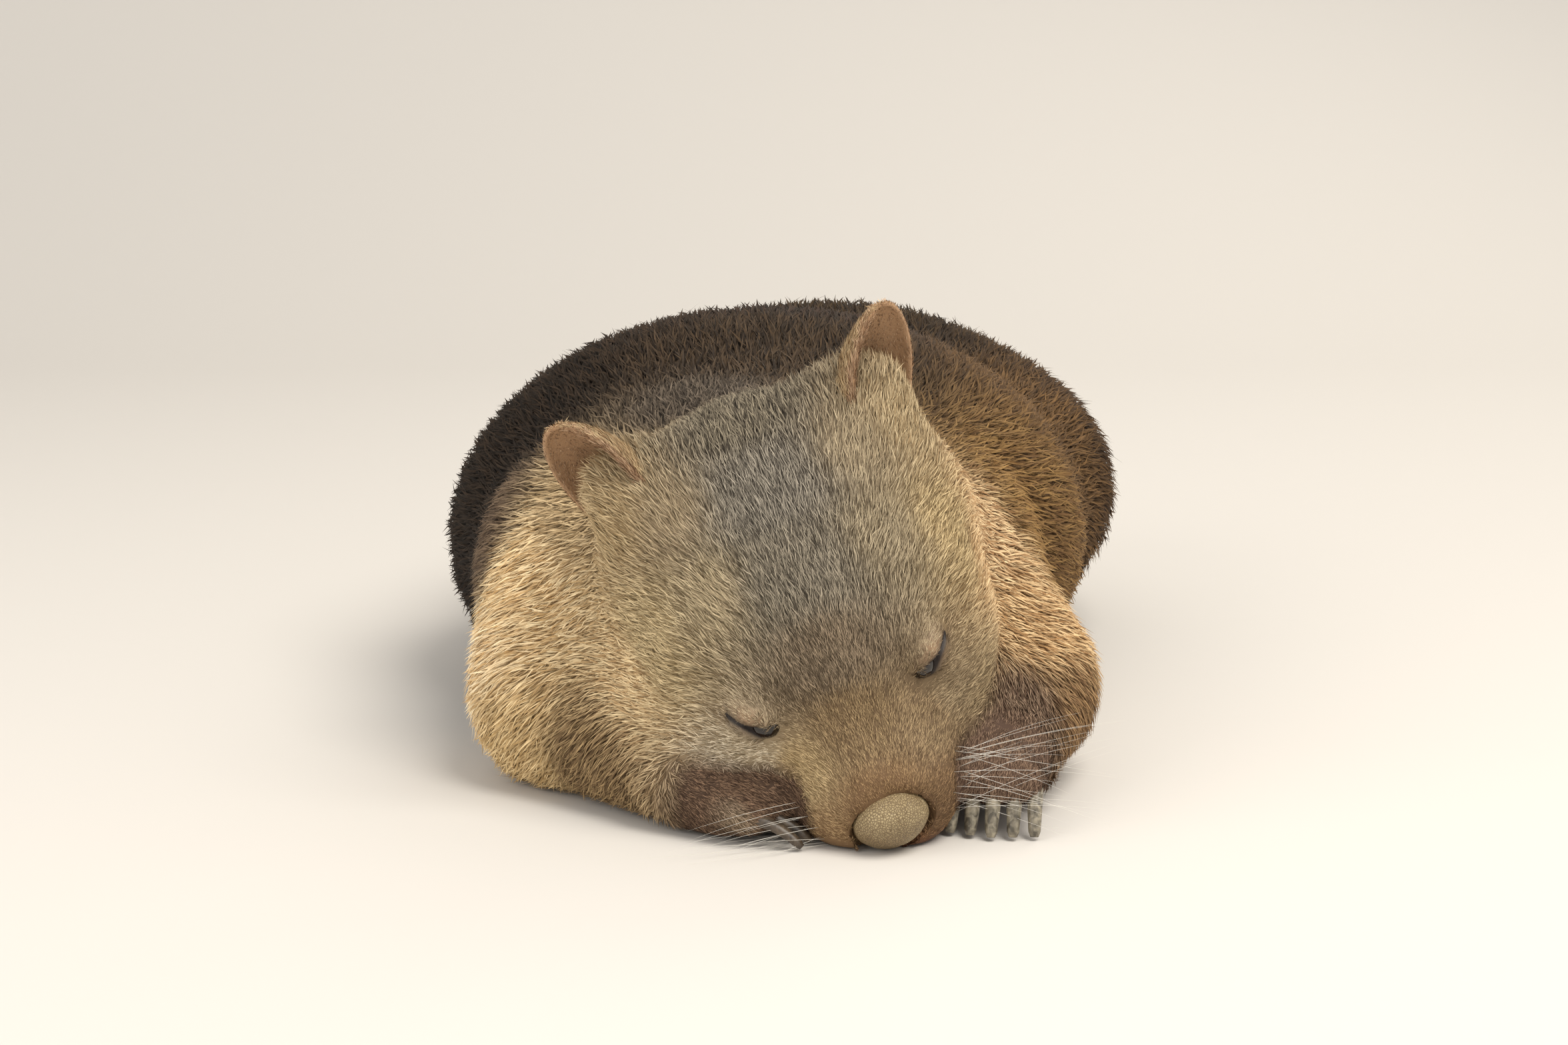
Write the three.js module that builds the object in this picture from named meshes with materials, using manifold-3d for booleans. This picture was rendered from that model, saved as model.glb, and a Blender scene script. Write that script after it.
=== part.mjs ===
// A common wombat asleep on its belly, life size, in millimetres with +Z up.
// The animal faces -Y, its head is bowed and tilted, and its own left side is on +X.
import * as THREE from 'three';
import Module from 'manifold-3d';

const wasm = await Module();
wasm.setup();

// Driving dimensions
const gap = 0.3; // between touching pieces
const curvedGap = 0.6; // the same where both faces are curved and faceted
const bodyCell = 28; // facet sizes
const headCell = 12;
const limbCell = 17;
const handCell = 9;
const footCell = 16;
const softBlend = 26; // how far two forms run into each other
const tightBlend = 9;

const headPlace = [75, 97, -24]; // under the front of the lower jaw
const headYaw = 24;
const headPitch = 42;
const headRoll = -27.5;
const muzzleRadius = 34;
const cheekHalfWidth = 88;
const eyeHalfSpan = 43;
const eyeBack = 68;
const eyeHeight = 82;
const eyeRadius = 8.5;
const earHalfSpan = 66;
const earLength = 53;
const earWidth = 47;
const earWall = 3.4;
const padWidth = 40;
const padHeight = 30;
const nostrilRadius = 3.6;
const mouthHeight = 17;

const trunkHalfWidth = 181;
const trunkTop = 214;
const trunkCentre = [9, 405, 86];
const rumpCentre = [50, 575, 82];
const rumpEnd = 712;
const tailLength = 30;

const foreClawLength = 24;
const foreClawWidth = 8;
const hindClawLength = 20;
const hindClawWidth = 6.8;
const toeSpacing = 8.4;
const toeFan = 0.05;

const colours = {
  greyCoat: 0x8c7a66,
  darkCoat: 0x4a3a2a,
  tanCoat: 0xc9a877,
  earCoat: 0xa88768,
  pawCoat: 0x4d3b36,
  noseSkin: 0x9a8873,
  eye: 0x140e0b,
  claw: 0x8f8778,
};

const vec = (p) => new THREE.Vector3(p[0], p[1], p[2]);
const turnX = (degrees) => new THREE.Matrix4().makeRotationX(THREE.MathUtils.degToRad(degrees));
const turnY = (degrees) => new THREE.Matrix4().makeRotationY(THREE.MathUtils.degToRad(degrees));
const turnZ = (degrees) => new THREE.Matrix4().makeRotationZ(THREE.MathUtils.degToRad(degrees));

// The head's own frame: x to its left side, y back from the nose, z up from the lower jaw
const headFrame = new THREE.Matrix4()
  .makeTranslation(...headPlace)
  .multiply(turnZ(headYaw))
  .multiply(turnX(headPitch))
  .multiply(turnY(headRoll));
const headTurn = new THREE.Matrix4().extractRotation(headFrame);
const inHead = (x, y, z) => vec([x, y, z]).applyMatrix4(headFrame).toArray();
const headWay = (x, y, z) => vec([x, y, z]).applyMatrix4(headTurn).normalize();

// Forms: each is a function of a point that gives roughly its distance from a surface
function egg(centre, radii, frame = new THREE.Matrix4()) {
  const back = new THREE.Matrix4().makeTranslation(...centre).multiply(frame).invert().elements;
  const [a, b, c] = radii;
  return (x, y, z) => {
    const u = back[0] * x + back[4] * y + back[8] * z + back[12];
    const v = back[1] * x + back[5] * y + back[9] * z + back[13];
    const w = back[2] * x + back[6] * y + back[10] * z + back[14];
    const near = Math.hypot(u / a, v / b, w / c);
    const slope = Math.hypot(u / (a * a), v / (b * b), w / (c * c));
    return slope < 1e-9 ? -Math.min(a, b, c) : (near * (near - 1)) / slope;
  };
}

function bone(start, startRadius, end, endRadius) {
  const along = end.map((value, axis) => value - start[axis]);
  const length2 = along.reduce((sum, value) => sum + value * value, 0);
  return (x, y, z) => {
    const p = [x - start[0], y - start[1], z - start[2]];
    const dot = p[0] * along[0] + p[1] * along[1] + p[2] * along[2];
    const t = Math.min(1, Math.max(0, dot / length2));
    const far = Math.hypot(p[0] - t * along[0], p[1] - t * along[1], p[2] - t * along[2]);
    return far - THREE.MathUtils.lerp(startRadius, endRadius, t);
  };
}

// Runs several forms together, so that flesh flows from one into the next
function flesh(forms, blend = softBlend) {
  return (x, y, z) => {
    let nearest = 1e6;
    for (const form of forms) {
      const next = form(x, y, z);
      const overlap = Math.max(blend - Math.abs(nearest - next), 0) / blend;
      nearest = Math.min(nearest, next) - (overlap * overlap * blend) / 4;
    }
    return nearest;
  };
}

// Faces a form inside a box: one corner in each cell that the surface crosses, drawn onto the surface
function faceted(form, box, cell, swell) {
  const size = box.getSize(new THREE.Vector3()).toArray();
  const count = size.map((length) => Math.ceil(length / cell) + 1);
  const low = box.min.toArray();
  const [nx, ny, nz] = count;
  const values = new Float64Array(nx * ny * nz);
  const at = (i, j, k) => i + nx * (j + ny * k);
  for (let k = 0; k < nz; k += 1) {
    for (let j = 0; j < ny; j += 1) {
      for (let i = 0; i < nx; i += 1) {
        const edge = i === 0 || j === 0 || k === 0 || i === nx - 1 || j === ny - 1 || k === nz - 1;
        const value = form(low[0] + i * cell, low[1] + j * cell, low[2] + k * cell);
        values[at(i, j, k)] = edge ? Math.max(value, cell / 2) : value;
      }
    }
  }
  const corners = [];
  const cornerOf = new Map();
  const steps = [[1, 0, 0], [0, 1, 0], [0, 0, 1]];
  for (let k = 0; k < nz - 1; k += 1) {
    for (let j = 0; j < ny - 1; j += 1) {
      for (let i = 0; i < nx - 1; i += 1) {
        const sum = [0, 0, 0];
        let crossings = 0;
        for (let corner = 0; corner < 8; corner += 1) {
          const a = [i + (corner & 1), j + ((corner >> 1) & 1), k + ((corner >> 2) & 1)];
          for (let axis = 0; axis < 3; axis += 1) {
            if ((corner >> axis) & 1) continue;
            const b = a.map((value, index) => value + steps[axis][index]);
            const va = values[at(...a)];
            const vb = values[at(...b)];
            if (va < 0 === vb < 0) continue;
            const share = va / (va - vb);
            a.forEach((value, index) => { sum[index] += value + share * steps[axis][index]; });
            crossings += 1;
          }
        }
        if (crossings > 0) {
          cornerOf.set(at(i, j, k), corners.length / 3);
          corners.push(...sum.map((value, index) => low[index] + (value / crossings) * cell));
        }
      }
    }
  }
  const faces = [];
  for (let k = 0; k < nz - 1; k += 1) {
    for (let j = 0; j < ny - 1; j += 1) {
      for (let i = 0; i < nx - 1; i += 1) {
        for (let axis = 0; axis < 3; axis += 1) {
          const place = [i, j, k];
          if (place[(axis + 1) % 3] === 0 || place[(axis + 2) % 3] === 0) continue;
          const step = steps[axis];
          const inside = values[at(i, j, k)] < 0;
          if (inside === values[at(i + step[0], j + step[1], k + step[2])] < 0) continue;
          const b = steps[(axis + 1) % 3];
          const c = steps[(axis + 2) % 3];
          const cellAt = (m, n) => cornerOf.get(at(
            i - m * b[0] - n * c[0], j - m * b[1] - n * c[1], k - m * b[2] - n * c[2]));
          const quad = [cellAt(1, 1), cellAt(0, 1), cellAt(0, 0), cellAt(1, 0)];
          if (!inside) quad.reverse();
          faces.push(quad[0], quad[1], quad[2], quad[0], quad[2], quad[3]);
        }
      }
    }
  }
  const settled = settle(form, corners, cell, swell);
  return { vertProperties: new Float32Array(settled), triVerts: new Uint32Array(faces) };
}

function slopeAt(form, point) {
  const reach = 0.5;
  const value = form(...point.toArray());
  const ahead = [vec([reach, 0, 0]), vec([0, reach, 0]), vec([0, 0, reach])];
  return vec(ahead.map((step) => form(...point.clone().add(step).toArray()) - value)).normalize();
}

// Moves each corner along the form's slope until it lies on the surface, or stands off it by the swell
function settle(form, corners, cell, swell) {
  const reach = 0.5;
  return corners.flatMap((unused, index) => {
    if (index % 3) return [];
    const p = corners.slice(index, index + 3);
    const value = form(...p);
    const rise = Math.min(cell, Math.max(-cell, value)) - swell;
    const slope = [0, 1, 2].map((axis) => {
      const ahead = p.map((coordinate, other) => coordinate + (other === axis ? reach : 0));
      return (form(...ahead) - value) / reach;
    });
    const length2 = slope.reduce((sum, part) => sum + part * part, 1e-6);
    return p.map((coordinate, axis) => coordinate - (rise * slope[axis]) / length2);
  });
}

function solidOf(mesh) {
  return new wasm.Manifold(new wasm.Mesh({ numProp: 3, ...mesh }));
}

const boxAround = (low, high) => new THREE.Box3(vec(low), vec(high));
const fleshSolid = (form, low, high, cell, swell = 0) => (
  solidOf(faceted(form, boxAround(low, high), cell, swell)));

// A closed solid from rings of corners, each anticlockwise as seen from the last ring, ended by fans
function ringSolid(rings) {
  const count = rings[0].length;
  const corners = rings.flat();
  const faces = [];
  for (let ring = 0; ring < rings.length - 1; ring += 1) {
    for (let side = 0; side < count; side += 1) {
      const a = ring * count + side;
      const b = ring * count + ((side + 1) % count);
      faces.push(a, b, b + count, a, b + count, a + count);
    }
  }
  for (const [ring, order] of [[0, -1], [rings.length - 1, 1]]) {
    for (let side = 1; side < count - 1; side += 1) {
      const fan = [ring * count, ring * count + side, ring * count + side + 1];
      if (order < 0) fan.reverse();
      faces.push(...fan);
    }
  }
  const vertProperties = new Float32Array(corners.flatMap((corner) => corner.toArray()));
  return solidOf({ vertProperties, triVerts: new Uint32Array(faces) });
}

function geometrySolid(geometry, frame) {
  const placed = geometry.clone().applyMatrix4(frame);
  const corners = [];
  const known = new Map();
  const position = placed.getAttribute('position');
  const order = Array.from(placed.index.array, (index) => {
    const p = [position.getX(index), position.getY(index), position.getZ(index)];
    const key = p.map((value) => value.toFixed(3)).join(' ');
    if (!known.has(key)) {
      known.set(key, corners.length / 3);
      corners.push(...p);
    }
    return known.get(key);
  });
  const faces = [];
  for (let index = 0; index < order.length; index += 3) {
    const [a, b, c] = order.slice(index, index + 3);
    if (a !== b && b !== c && a !== c) faces.push(a, b, c);
  }
  return solidOf({ vertProperties: new Float32Array(corners), triVerts: new Uint32Array(faces) });
}

function block(low, high, frame = new THREE.Matrix4()) {
  const size = high.map((value, axis) => value - low[axis]);
  const middle = high.map((value, axis) => (value + low[axis]) / 2);
  const placed = frame.clone().multiply(new THREE.Matrix4().makeTranslation(...middle));
  return geometrySolid(new THREE.BoxGeometry(...size), placed);
}

function ball(radii, frame, around = 12, rows = 8) {
  const scaled = frame.clone().scale(vec(radii));
  return geometrySolid(new THREE.SphereGeometry(1, around, rows), scaled);
}

// A claw: a blunt curved horn, flat below, from its root to its tip
function clawSolid(root, tip, width, grow = 0) {
  const lift = vec([0, 0, 1]).multiplyScalar(root.distanceTo(tip) * 0.22);
  const middle = root.clone().lerp(tip, 0.5).add(lift);
  const curve = new THREE.QuadraticBezierCurve3(root, middle, tip);
  const across = new THREE.Vector3().subVectors(tip, root).cross(vec([0, 0, 1])).normalize();
  const steps = 4;
  const sides = 6;
  const rings = [];
  for (let step = 0; step <= steps; step += 1) {
    const t = step / steps;
    const centre = curve.getPoint(t);
    const up = curve.getTangent(t).cross(across).normalize();
    const half = (width / 2) * (1 - 0.55 * t * t) + grow;
    rings.push(Array.from({ length: sides }, (unused, side) => {
      const angle = (side / sides) * Math.PI * 2;
      return centre.clone()
        .addScaledVector(across, Math.cos(angle) * half)
        .addScaledVector(up, Math.sin(angle) * half * 0.85);
    }));
  }
  return ringSolid(rings);
}

// Head
const headForms = [
  egg(inHead(0, 140, 72), [69, 82, 50], headTurn), // skull
  bone(inHead(0, 40, 37), muzzleRadius, inHead(0, 112, 62), 53), // muzzle to brow
  bone(inHead(0, 30, 22), 16, inHead(0, 120, 28), 30), // lower jaw
  egg(inHead(0, 22, 50), [21, 13, 17], headTurn), // behind the nose pad
];
const sides = { right: -1, left: 1 };
for (const side of Object.values(sides)) {
  const cheek = inHead(side * (cheekHalfWidth - 40), 122, 48);
  const brow = bone(inHead(side * 32, 80, 78), 12, inHead(side * 50, 108, 84), 17);
  const lipToCheek = bone(inHead(side * 15, 40, 32), 21, inHead(side * 46, 100, 38), 31);
  const earMound = bone(inHead(side * 46, 168, 92), 30, inHead(side * earHalfSpan, 190, 116), 19);
  const earBack = bone(inHead(side * 38, 184, 98), 24, inHead(side * 53, 211, 127), 7);
  headForms.push(egg(cheek, [37, 58, 42], headTurn), lipToCheek, brow, earMound, earBack);
}

// Neck, trunk and rump, from the back of the head to the seat
const trunkForms = [
  bone(inHead(0, 178, 66), 66, [-4, 250, 98], 96),
  bone(inHead(0, 120, 20), 42, [0, 235, 55], 62),
  bone(inHead(-52, 165, 62), 42, [-62, 235, 84], 60),
  bone(inHead(52, 165, 62), 44, [72, 240, 90], 60),
  egg([-4, 280, 84], [142, 105, 106]),
  egg(trunkCentre, [trunkHalfWidth, 185, trunkTop - trunkCentre[2]]),
  egg(rumpCentre, [163, rumpEnd - rumpCentre[1], 116]),
];

// Legs: each limb's own forms, from the body down to the paw
const limbs = [
  {
    side: 'right',
    upperRun: [[-74, 255, 92], 62, [-92, 205, 50], 50],
    foreRun: [[-94, 192, 38], 40, [-36, 120, 25], 27],
    paw: {
      wrist: [-36, 118, 24], palm: [-14, 98, 18], heading: [0.98, -0.18], drop: 10, wristRadius: 24,
    },
  },
  {
    side: 'left',
    upperRun: [[88, 262, 92], 62, [124, 205, 52], 46],
    foreRun: [[133, 198, 42], 37, [128, 144, 30], 24],
    paw: {
      wrist: [128, 142, 30], palm: [117, 119, 27], heading: [-0.2, -0.98], drop: 21, wristRadius: 21,
    },
  },
];
for (const limb of limbs) {
  limb.upper = bone(...limb.upperRun);
  limb.fore = bone(...limb.foreRun);
}
const haunchReach = [72, 96, 66]; // how far a thigh's node reaches round its hip
const haunches = [
  {
    side: 'right', centre: [-86, 535, 78], hip: [-140, 535, 74], heel: [-112, 575, 24], sole: [-136, 472, 18],
  },
  {
    side: 'left', centre: [155, 520, 90], hip: [210, 525, 80], heel: [158, 575, 24], sole: [166, 480, 18],
  },
];
const haunchRadii = [64, 104, 70];

// A paw's forms and claws: toes side by side across its heading, the middle ones longest
function pawParts({ wrist, palm, heading, drop, wristRadius }, toes, clawLength, width) {
  const ahead = new THREE.Vector3(heading[0], heading[1], 0).normalize();
  const across = new THREE.Vector3(-ahead.y, ahead.x, 0);
  const forms = [bone(wrist, wristRadius, palm, wristRadius * 0.86)];
  const claws = [];
  for (let toe = 0; toe < toes; toe += 1) {
    const place = toe - (toes - 1) / 2;
    const fan = ahead.clone().addScaledVector(across, place * toeFan).normalize();
    const knuckle = vec(palm).addScaledVector(across, place * toeSpacing).addScaledVector(fan, 8);
    const reach = 15 - Math.abs(place) * 2.2;
    const end = knuckle.clone().addScaledVector(fan, reach);
    knuckle.z = palm[2] - 1;
    end.z = Math.max(palm[2] - 6, 9);
    forms.push(bone(knuckle.toArray(), 9, end.toArray(), 7.5));
    const forward = Math.sqrt(Math.max(clawLength * clawLength - drop * drop, 16));
    const tip = end.clone().addScaledVector(fan, forward);
    tip.z = Math.max(end.z - drop, width * 0.24);
    claws.push({ root: end, tip });
  }
  return { forms, claws };
}

// Where a paw ends: a frame at its wrist that looks along the paw, with the paw's room in front of it
function pawCuff(wrist, palm, behind = -2) {
  const ahead = new THREE.Vector3().subVectors(vec(palm), vec(wrist)).setZ(0).normalize();
  const side = new THREE.Vector3(ahead.y, -ahead.x, 0);
  const frame = new THREE.Matrix4().makeBasis(side, ahead, vec([0, 0, 1])).setPosition(...wrist);
  return { frame, behind };
}

const pawJobs = [];
for (const limb of limbs) {
  const parts = pawParts(limb.paw, 5, foreClawLength, foreClawWidth);
  parts.forms.push(limb.fore);
  pawJobs.push({
    node: `hand_${limb.side}`,
    label: `claw_fore_${limb.side}`,
    width: foreClawWidth,
    cell: handCell,
    cuff: pawCuff(limb.paw.wrist, limb.paw.palm),
    ...parts,
  });
}
for (const haunch of haunches) {
  const { heel, sole } = haunch;
  const foot = {
    wrist: heel, palm: sole, heading: [sole[0] - heel[0], sole[1] - heel[1]], drop: 8, wristRadius: 27,
  };
  pawJobs.push({
    node: `hind_foot_${haunch.side}`,
    label: `claw_hind_${haunch.side}`,
    width: hindClawWidth,
    cell: footCell,
    cuff: pawCuff(heel, sole, -60),
    ...pawParts(foot, 4, hindClawLength, hindClawWidth),
  });
}

const tailRoot = [54, rumpEnd - 22, 66];
const tailTip = [60, rumpEnd - 22 + tailLength, 52];
const tailForm = bone(tailRoot, 15, tailTip, 10);

const allForms = [
  ...trunkForms,
  ...headForms,
  ...limbs.flatMap((limb) => [limb.upper, limb.fore]),
  ...haunches.map((haunch) => egg(haunch.centre, haunchRadii)),
];
const wholeBody = flesh(allForms);

// An ear: a rounded leaf, curled into a cup that opens forwards and outwards
function earSolid(side, grow = 0) {
  const frame = headFrame.clone()
    .multiply(new THREE.Matrix4().makeTranslation(side * earHalfSpan, 186, 106))
    .multiply(turnY(side * 14))
    .multiply(turnX(-29))
    .multiply(turnZ(side * 34));
  const rows = 7;
  const half = 5;
  const rings = [];
  for (let row = 0; row <= rows; row += 1) {
    const t = row / rows;
    const leaf = Math.sqrt(Math.max(1 - (t * 0.98) ** 2.6, 0.02)) * (0.82 + 0.3 * Math.sin(t * 2.4));
    const width = (earWidth / 2) * leaf + grow;
    const height = (earLength + grow) * t - 10 * (1 - t);
    const curl = THREE.MathUtils.lerp(1.25, 0.55, t);
    const wall = earWall * (1 - 0.45 * t);
    const ring = [];
    for (const [offset, order] of [[grow, 1], [-wall - grow, -1]]) {
      for (let point = -half; point <= half; point += 1) {
        const u = (order * point) / half;
        const angle = u * curl;
        const radius = width / Math.sin(curl);
        const rim = offset * Math.sqrt(Math.max(1 - u * u * 0.86, 0));
        const x = Math.sin(angle) * (radius + rim);
        const y = Math.cos(angle) * (radius + rim) - radius * Math.cos(curl) - 5 * t * t;
        ring.push(vec([x, y, height]).applyMatrix4(frame));
      }
    }
    rings.push(ring.reverse());
  }
  return ringSolid(rings);
}

// An eye under closed lids: a ball in an open socket, two lid rolls and the slit between them
function eyeParts(side) {
  const inside = vec(inHead(side * eyeHalfSpan, eyeBack, eyeHeight));
  const out = slopeAt(wholeBody, inside);
  const depth = wholeBody(...inside.toArray());
  const surface = inside.clone().addScaledVector(out, -depth);
  const along = headWay(side * 0.5, 0.85, 0.1);
  const up = out.clone().cross(along).normalize();
  if (up.dot(headWay(0, 0, 1)) < 0) up.negate();
  const frame = new THREE.Matrix4().makeBasis(up.clone().cross(out), up, out).setPosition(surface);
  const at = (x, y, z) => frame.clone().multiply(new THREE.Matrix4().makeTranslation(x, y, z));
  const upperLid = ball([13, 6.5, 5.5], at(0, 5, -0.5));
  const lowerLid = ball([12, 5, 4.5], at(0, -6, -1));
  const sunk = 2 - eyeRadius;
  const socketRadius = eyeRadius + gap;
  return {
    eye: ball([eyeRadius, eyeRadius, eyeRadius], at(0, 0, sunk)),
    socket: ball([socketRadius, socketRadius, socketRadius], at(0, 0, sunk)),
    lids: upperLid.add(lowerLid),
    slit: ball([10.5, 1.1, 10], at(0, -1.3, 2), 12, 6),
  };
}

// The nose pad, its nostrils, and the groove from the pad down to the lip
const padFrame = headFrame.clone()
  .multiply(new THREE.Matrix4().makeTranslation(0, 11, 47))
  .multiply(turnX(14));
const padRadii = [padWidth / 2, 13, padHeight / 2 + 3];
const pad = ball(padRadii, padFrame, 16, 10);
const padShadow = ball(padRadii.map((radius) => radius + gap), padFrame, 16, 10);
const nostrils = [-1, 1].map((side) => {
  const frame = headFrame.clone()
    .multiply(new THREE.Matrix4().makeTranslation(side * 16, 4, 37))
    .multiply(turnZ(side * 24))
    .multiply(turnY(side * -34));
  return ball([nostrilRadius * 0.8, 9, nostrilRadius * 1.9], frame, 12, 8);
});
const lipFrame = headFrame.clone().multiply(new THREE.Matrix4().makeTranslation(0, 6, 22));
const lipGroove = ball([0.9, 8, 12], lipFrame, 10, 8);

// The mouth line: the lower jaw drops away from the upper lip along a shallow bow
const jawRegion = block([-58, -30, -40], [58, 93, mouthHeight], headFrame);
const jawShadow = block([-58 - gap, -30 - gap, -40], [58 + gap, 93 + gap, mouthHeight + gap], headFrame);

// Parting: each node takes its region from the flesh, and later nodes keep clear of it
const floor = block([-400, -200, -200], [500, 1000, 0]);
const parted = [];
let taken = floor;

const sliver = 0.1; // details smaller than this are merged away

function largest(solid) {
  return solid.simplify(sliver).decompose().sort((a, b) => b.volume() - a.volume())[0];
}

function part(name, whole, region, shadow, colour, rough = 0.85) {
  const piece = largest(whole.intersect(region).subtract(taken));
  parted.push({ name, piece, colour, rough });
  taken = taken.add(shadow);
}

const headLow = [-115, 40, -20];
const headHigh = [175, 260, 265];
let headFlesh = fleshSolid(wholeBody, headLow, headHigh, headCell);

for (const job of pawJobs) {
  job.claws.forEach((claw, index) => {
    const piece = largest(clawSolid(claw.root, claw.tip, job.width).subtract(floor));
    parted.push({ name: `${job.label}_${index + 1}`, piece, colour: colours.claw, rough: 0.45 });
  });
}
for (const job of pawJobs) {
  for (const claw of job.claws) taken = taken.add(clawSolid(claw.root, claw.tip, job.width, gap));
}

for (const [label, side] of Object.entries(sides)) {
  const eye = eyeParts(side);
  headFlesh = headFlesh.add(eye.lids).subtract(eye.slit).subtract(eye.socket);
  parted.push({ name: `eye_${label}`, piece: eye.eye, colour: colours.eye, rough: 0.15 });
}
const padPiece = largest(pad.subtract(nostrils[0]).subtract(nostrils[1]).subtract(floor));
parted.push({ name: 'nose_pad', piece: padPiece, colour: colours.noseSkin, rough: 0.6 });
for (const opening of [padShadow, ...nostrils, lipGroove]) headFlesh = headFlesh.subtract(opening);
const headRoot = fleshSolid(wholeBody, headLow, headHigh, headCell, gap);
for (const [label, side] of Object.entries(sides)) {
  const piece = largest(earSolid(side).subtract(headRoot));
  parted.push({ name: `ear_${label}`, piece, colour: colours.earCoat, rough: 0.85 });
  taken = taken.add(earSolid(side, gap).subtract(headRoot));
}

// A sleeve: an eight-sided tapered region round one length of a limb
function sleeve(start, startRadius, end, endRadius, grow = 0) {
  const from = vec(start);
  const along = new THREE.Vector3().subVectors(vec(end), from);
  const length = along.length();
  along.normalize();
  const across = along.clone().cross(vec([0, 0, 1])).normalize();
  const up = along.clone().cross(across);
  const shape = [[-0.85, 0.5], [-0.5, 0.9], [0, 1], [1, 1], [1.5, 0.9], [1.85, 0.5]];
  const rings = shape.map(([place, share]) => {
    const t = Math.min(1, Math.max(0, place));
    const radius = THREE.MathUtils.lerp(startRadius, endRadius, t);
    const reach = (radius + grow) * (place - t);
    const centre = from.clone().addScaledVector(along, t * length + reach);
    return Array.from({ length: 8 }, (unused, side) => {
      const angle = ((side + 0.5) / 8) * Math.PI * 2;
      const ring = (radius + grow) * share;
      return centre.clone()
        .addScaledVector(across, Math.cos(angle) * ring)
        .addScaledVector(up, Math.sin(angle) * ring);
    });
  });
  return ringSolid(rings);
}

function around(near, reach) {
  const low = near.map((value, axis) => value - reach[axis]);
  const high = near.map((value, axis) => value + reach[axis]);
  return [low, high];
}

for (const job of pawJobs) {
  const form = flesh(job.forms, tightBlend);
  const centre = job.claws[Math.floor(job.claws.length / 2)].root.toArray();
  const [low, high] = around(centre, [150, 185, 90]);
  const { frame, behind } = job.cuff;
  const room = block([-60, behind, -90], [60, 200, 90], frame);
  const shadowRoom = block([-60, behind - gap, -90], [60, 200, 90], frame);
  const source = fleshSolid(form, low, high, job.cell);
  const shadow = fleshSolid(form, low, high, job.cell, curvedGap).intersect(shadowRoom);
  part(job.node, source, room, shadow, colours.pawCoat);
}

const armsLow = [-240, 60, -30];
const armsHigh = [260, 360, 250];
const limbFlesh = fleshSolid(wholeBody, armsLow, armsHigh, limbCell);
const webbing = 8;
for (const limb of limbs) {
  const [start, startRadius, end, endRadius] = limb.foreRun;
  const region = sleeve(start, startRadius + webbing, end, endRadius + webbing);
  const shadow = sleeve(start, startRadius + webbing, end, endRadius + webbing, gap);
  part(`forearm_${limb.side}`, limbFlesh, region, shadow, colours.greyCoat);
}
part('jaw', headFlesh, jawRegion, jawShadow, colours.greyCoat);
const headRoom = [[-112, -40, -2], [112, 206, 230]];
const headRegion = block(...headRoom, headFrame);
const headRoomGrown = [headRoom[0].map((edge) => edge - gap), headRoom[1].map((edge) => edge + gap)];
const headShadow = block(...headRoomGrown, headFrame);
part('head', headFlesh, headRegion, headShadow, colours.greyCoat);
for (const limb of limbs) {
  const [start, startRadius, end, endRadius] = limb.upperRun;
  const region = sleeve(start, startRadius, end, endRadius + webbing);
  const shadow = sleeve(start, startRadius, end, endRadius + webbing, gap);
  part(`upper_arm_${limb.side}`, limbFlesh, region, shadow, colours.tanCoat);
}
const bodyLow = [-260, 30, -60];
const bodyHigh = [300, 800, 270];
const trunkFlesh = fleshSolid(wholeBody, bodyLow, bodyHigh, bodyCell);
for (const haunch of haunches) {
  const frame = new THREE.Matrix4().makeTranslation(...haunch.hip);
  const grown = haunchReach.map((radius) => radius + gap);
  part(`thigh_${haunch.side}`, trunkFlesh, ball(haunchReach, frame), ball(grown, frame), colours.darkCoat);
}
const [tailLow, tailHigh] = around(tailRoot, [60, 60, 60]);
const tailRoom = block([-100, rumpEnd - 30, -100], [300, rumpEnd + 100, 300]);
const tailShadow = fleshSolid(tailForm, tailLow, tailHigh, footCell, curvedGap);
part('tail', fleshSolid(tailForm, tailLow, tailHigh, footCell), tailRoom, tailShadow, colours.darkCoat);
const napeRegion = block([-200, 206, -40], [200, 400, 300], headFrame)
  .intersect(block([-400, 0, 60], [500, 258, 500]));
const napeShadow = block([-200, 206 - gap, -40], [200, 400, 300], headFrame)
  .intersect(block([-400, 0, 60 - gap], [500, 258 + gap, 500]));
part('neck', trunkFlesh, napeRegion, napeShadow, colours.greyCoat);
const stretches = [['throat', -100, 232], ['chest', 232, 345], ['belly', 345, 500], ['rump', 500, 900]];
for (const [name, front, back] of stretches) {
  const region = block([-400, front, -50], [500, back, 500]);
  const shadow = block([-400, front - gap, -50], [500, back + gap, 500]);
  part(name, trunkFlesh, region, shadow, name === 'throat' ? colours.tanCoat : colours.darkCoat);
}

const wombat = new THREE.Group();
for (const { name, piece, colour, rough } of parted) {
  const mesh = piece.getMesh();
  const geometry = new THREE.BufferGeometry();
  geometry.setAttribute('position', new THREE.BufferAttribute(new Float32Array(mesh.vertProperties), 3));
  geometry.setIndex(new THREE.BufferAttribute(new Uint32Array(mesh.triVerts), 1));
  geometry.computeVertexNormals();
  const material = new THREE.MeshStandardMaterial({ color: colour, roughness: rough, metalness: 0 });
  const node = new THREE.Mesh(geometry, material);
  node.name = name;
  wombat.add(node);
}
const extent = new THREE.Box3().setFromObject(wombat);
const middle = extent.getCenter(new THREE.Vector3());
wombat.position.set(-middle.x, -middle.y, -extent.min.z);

export default wombat;
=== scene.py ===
import bpy, bmesh, math
import numpy as np
from mathutils import Matrix, Vector
from mathutils.bvhtree import BVHTree


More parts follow.
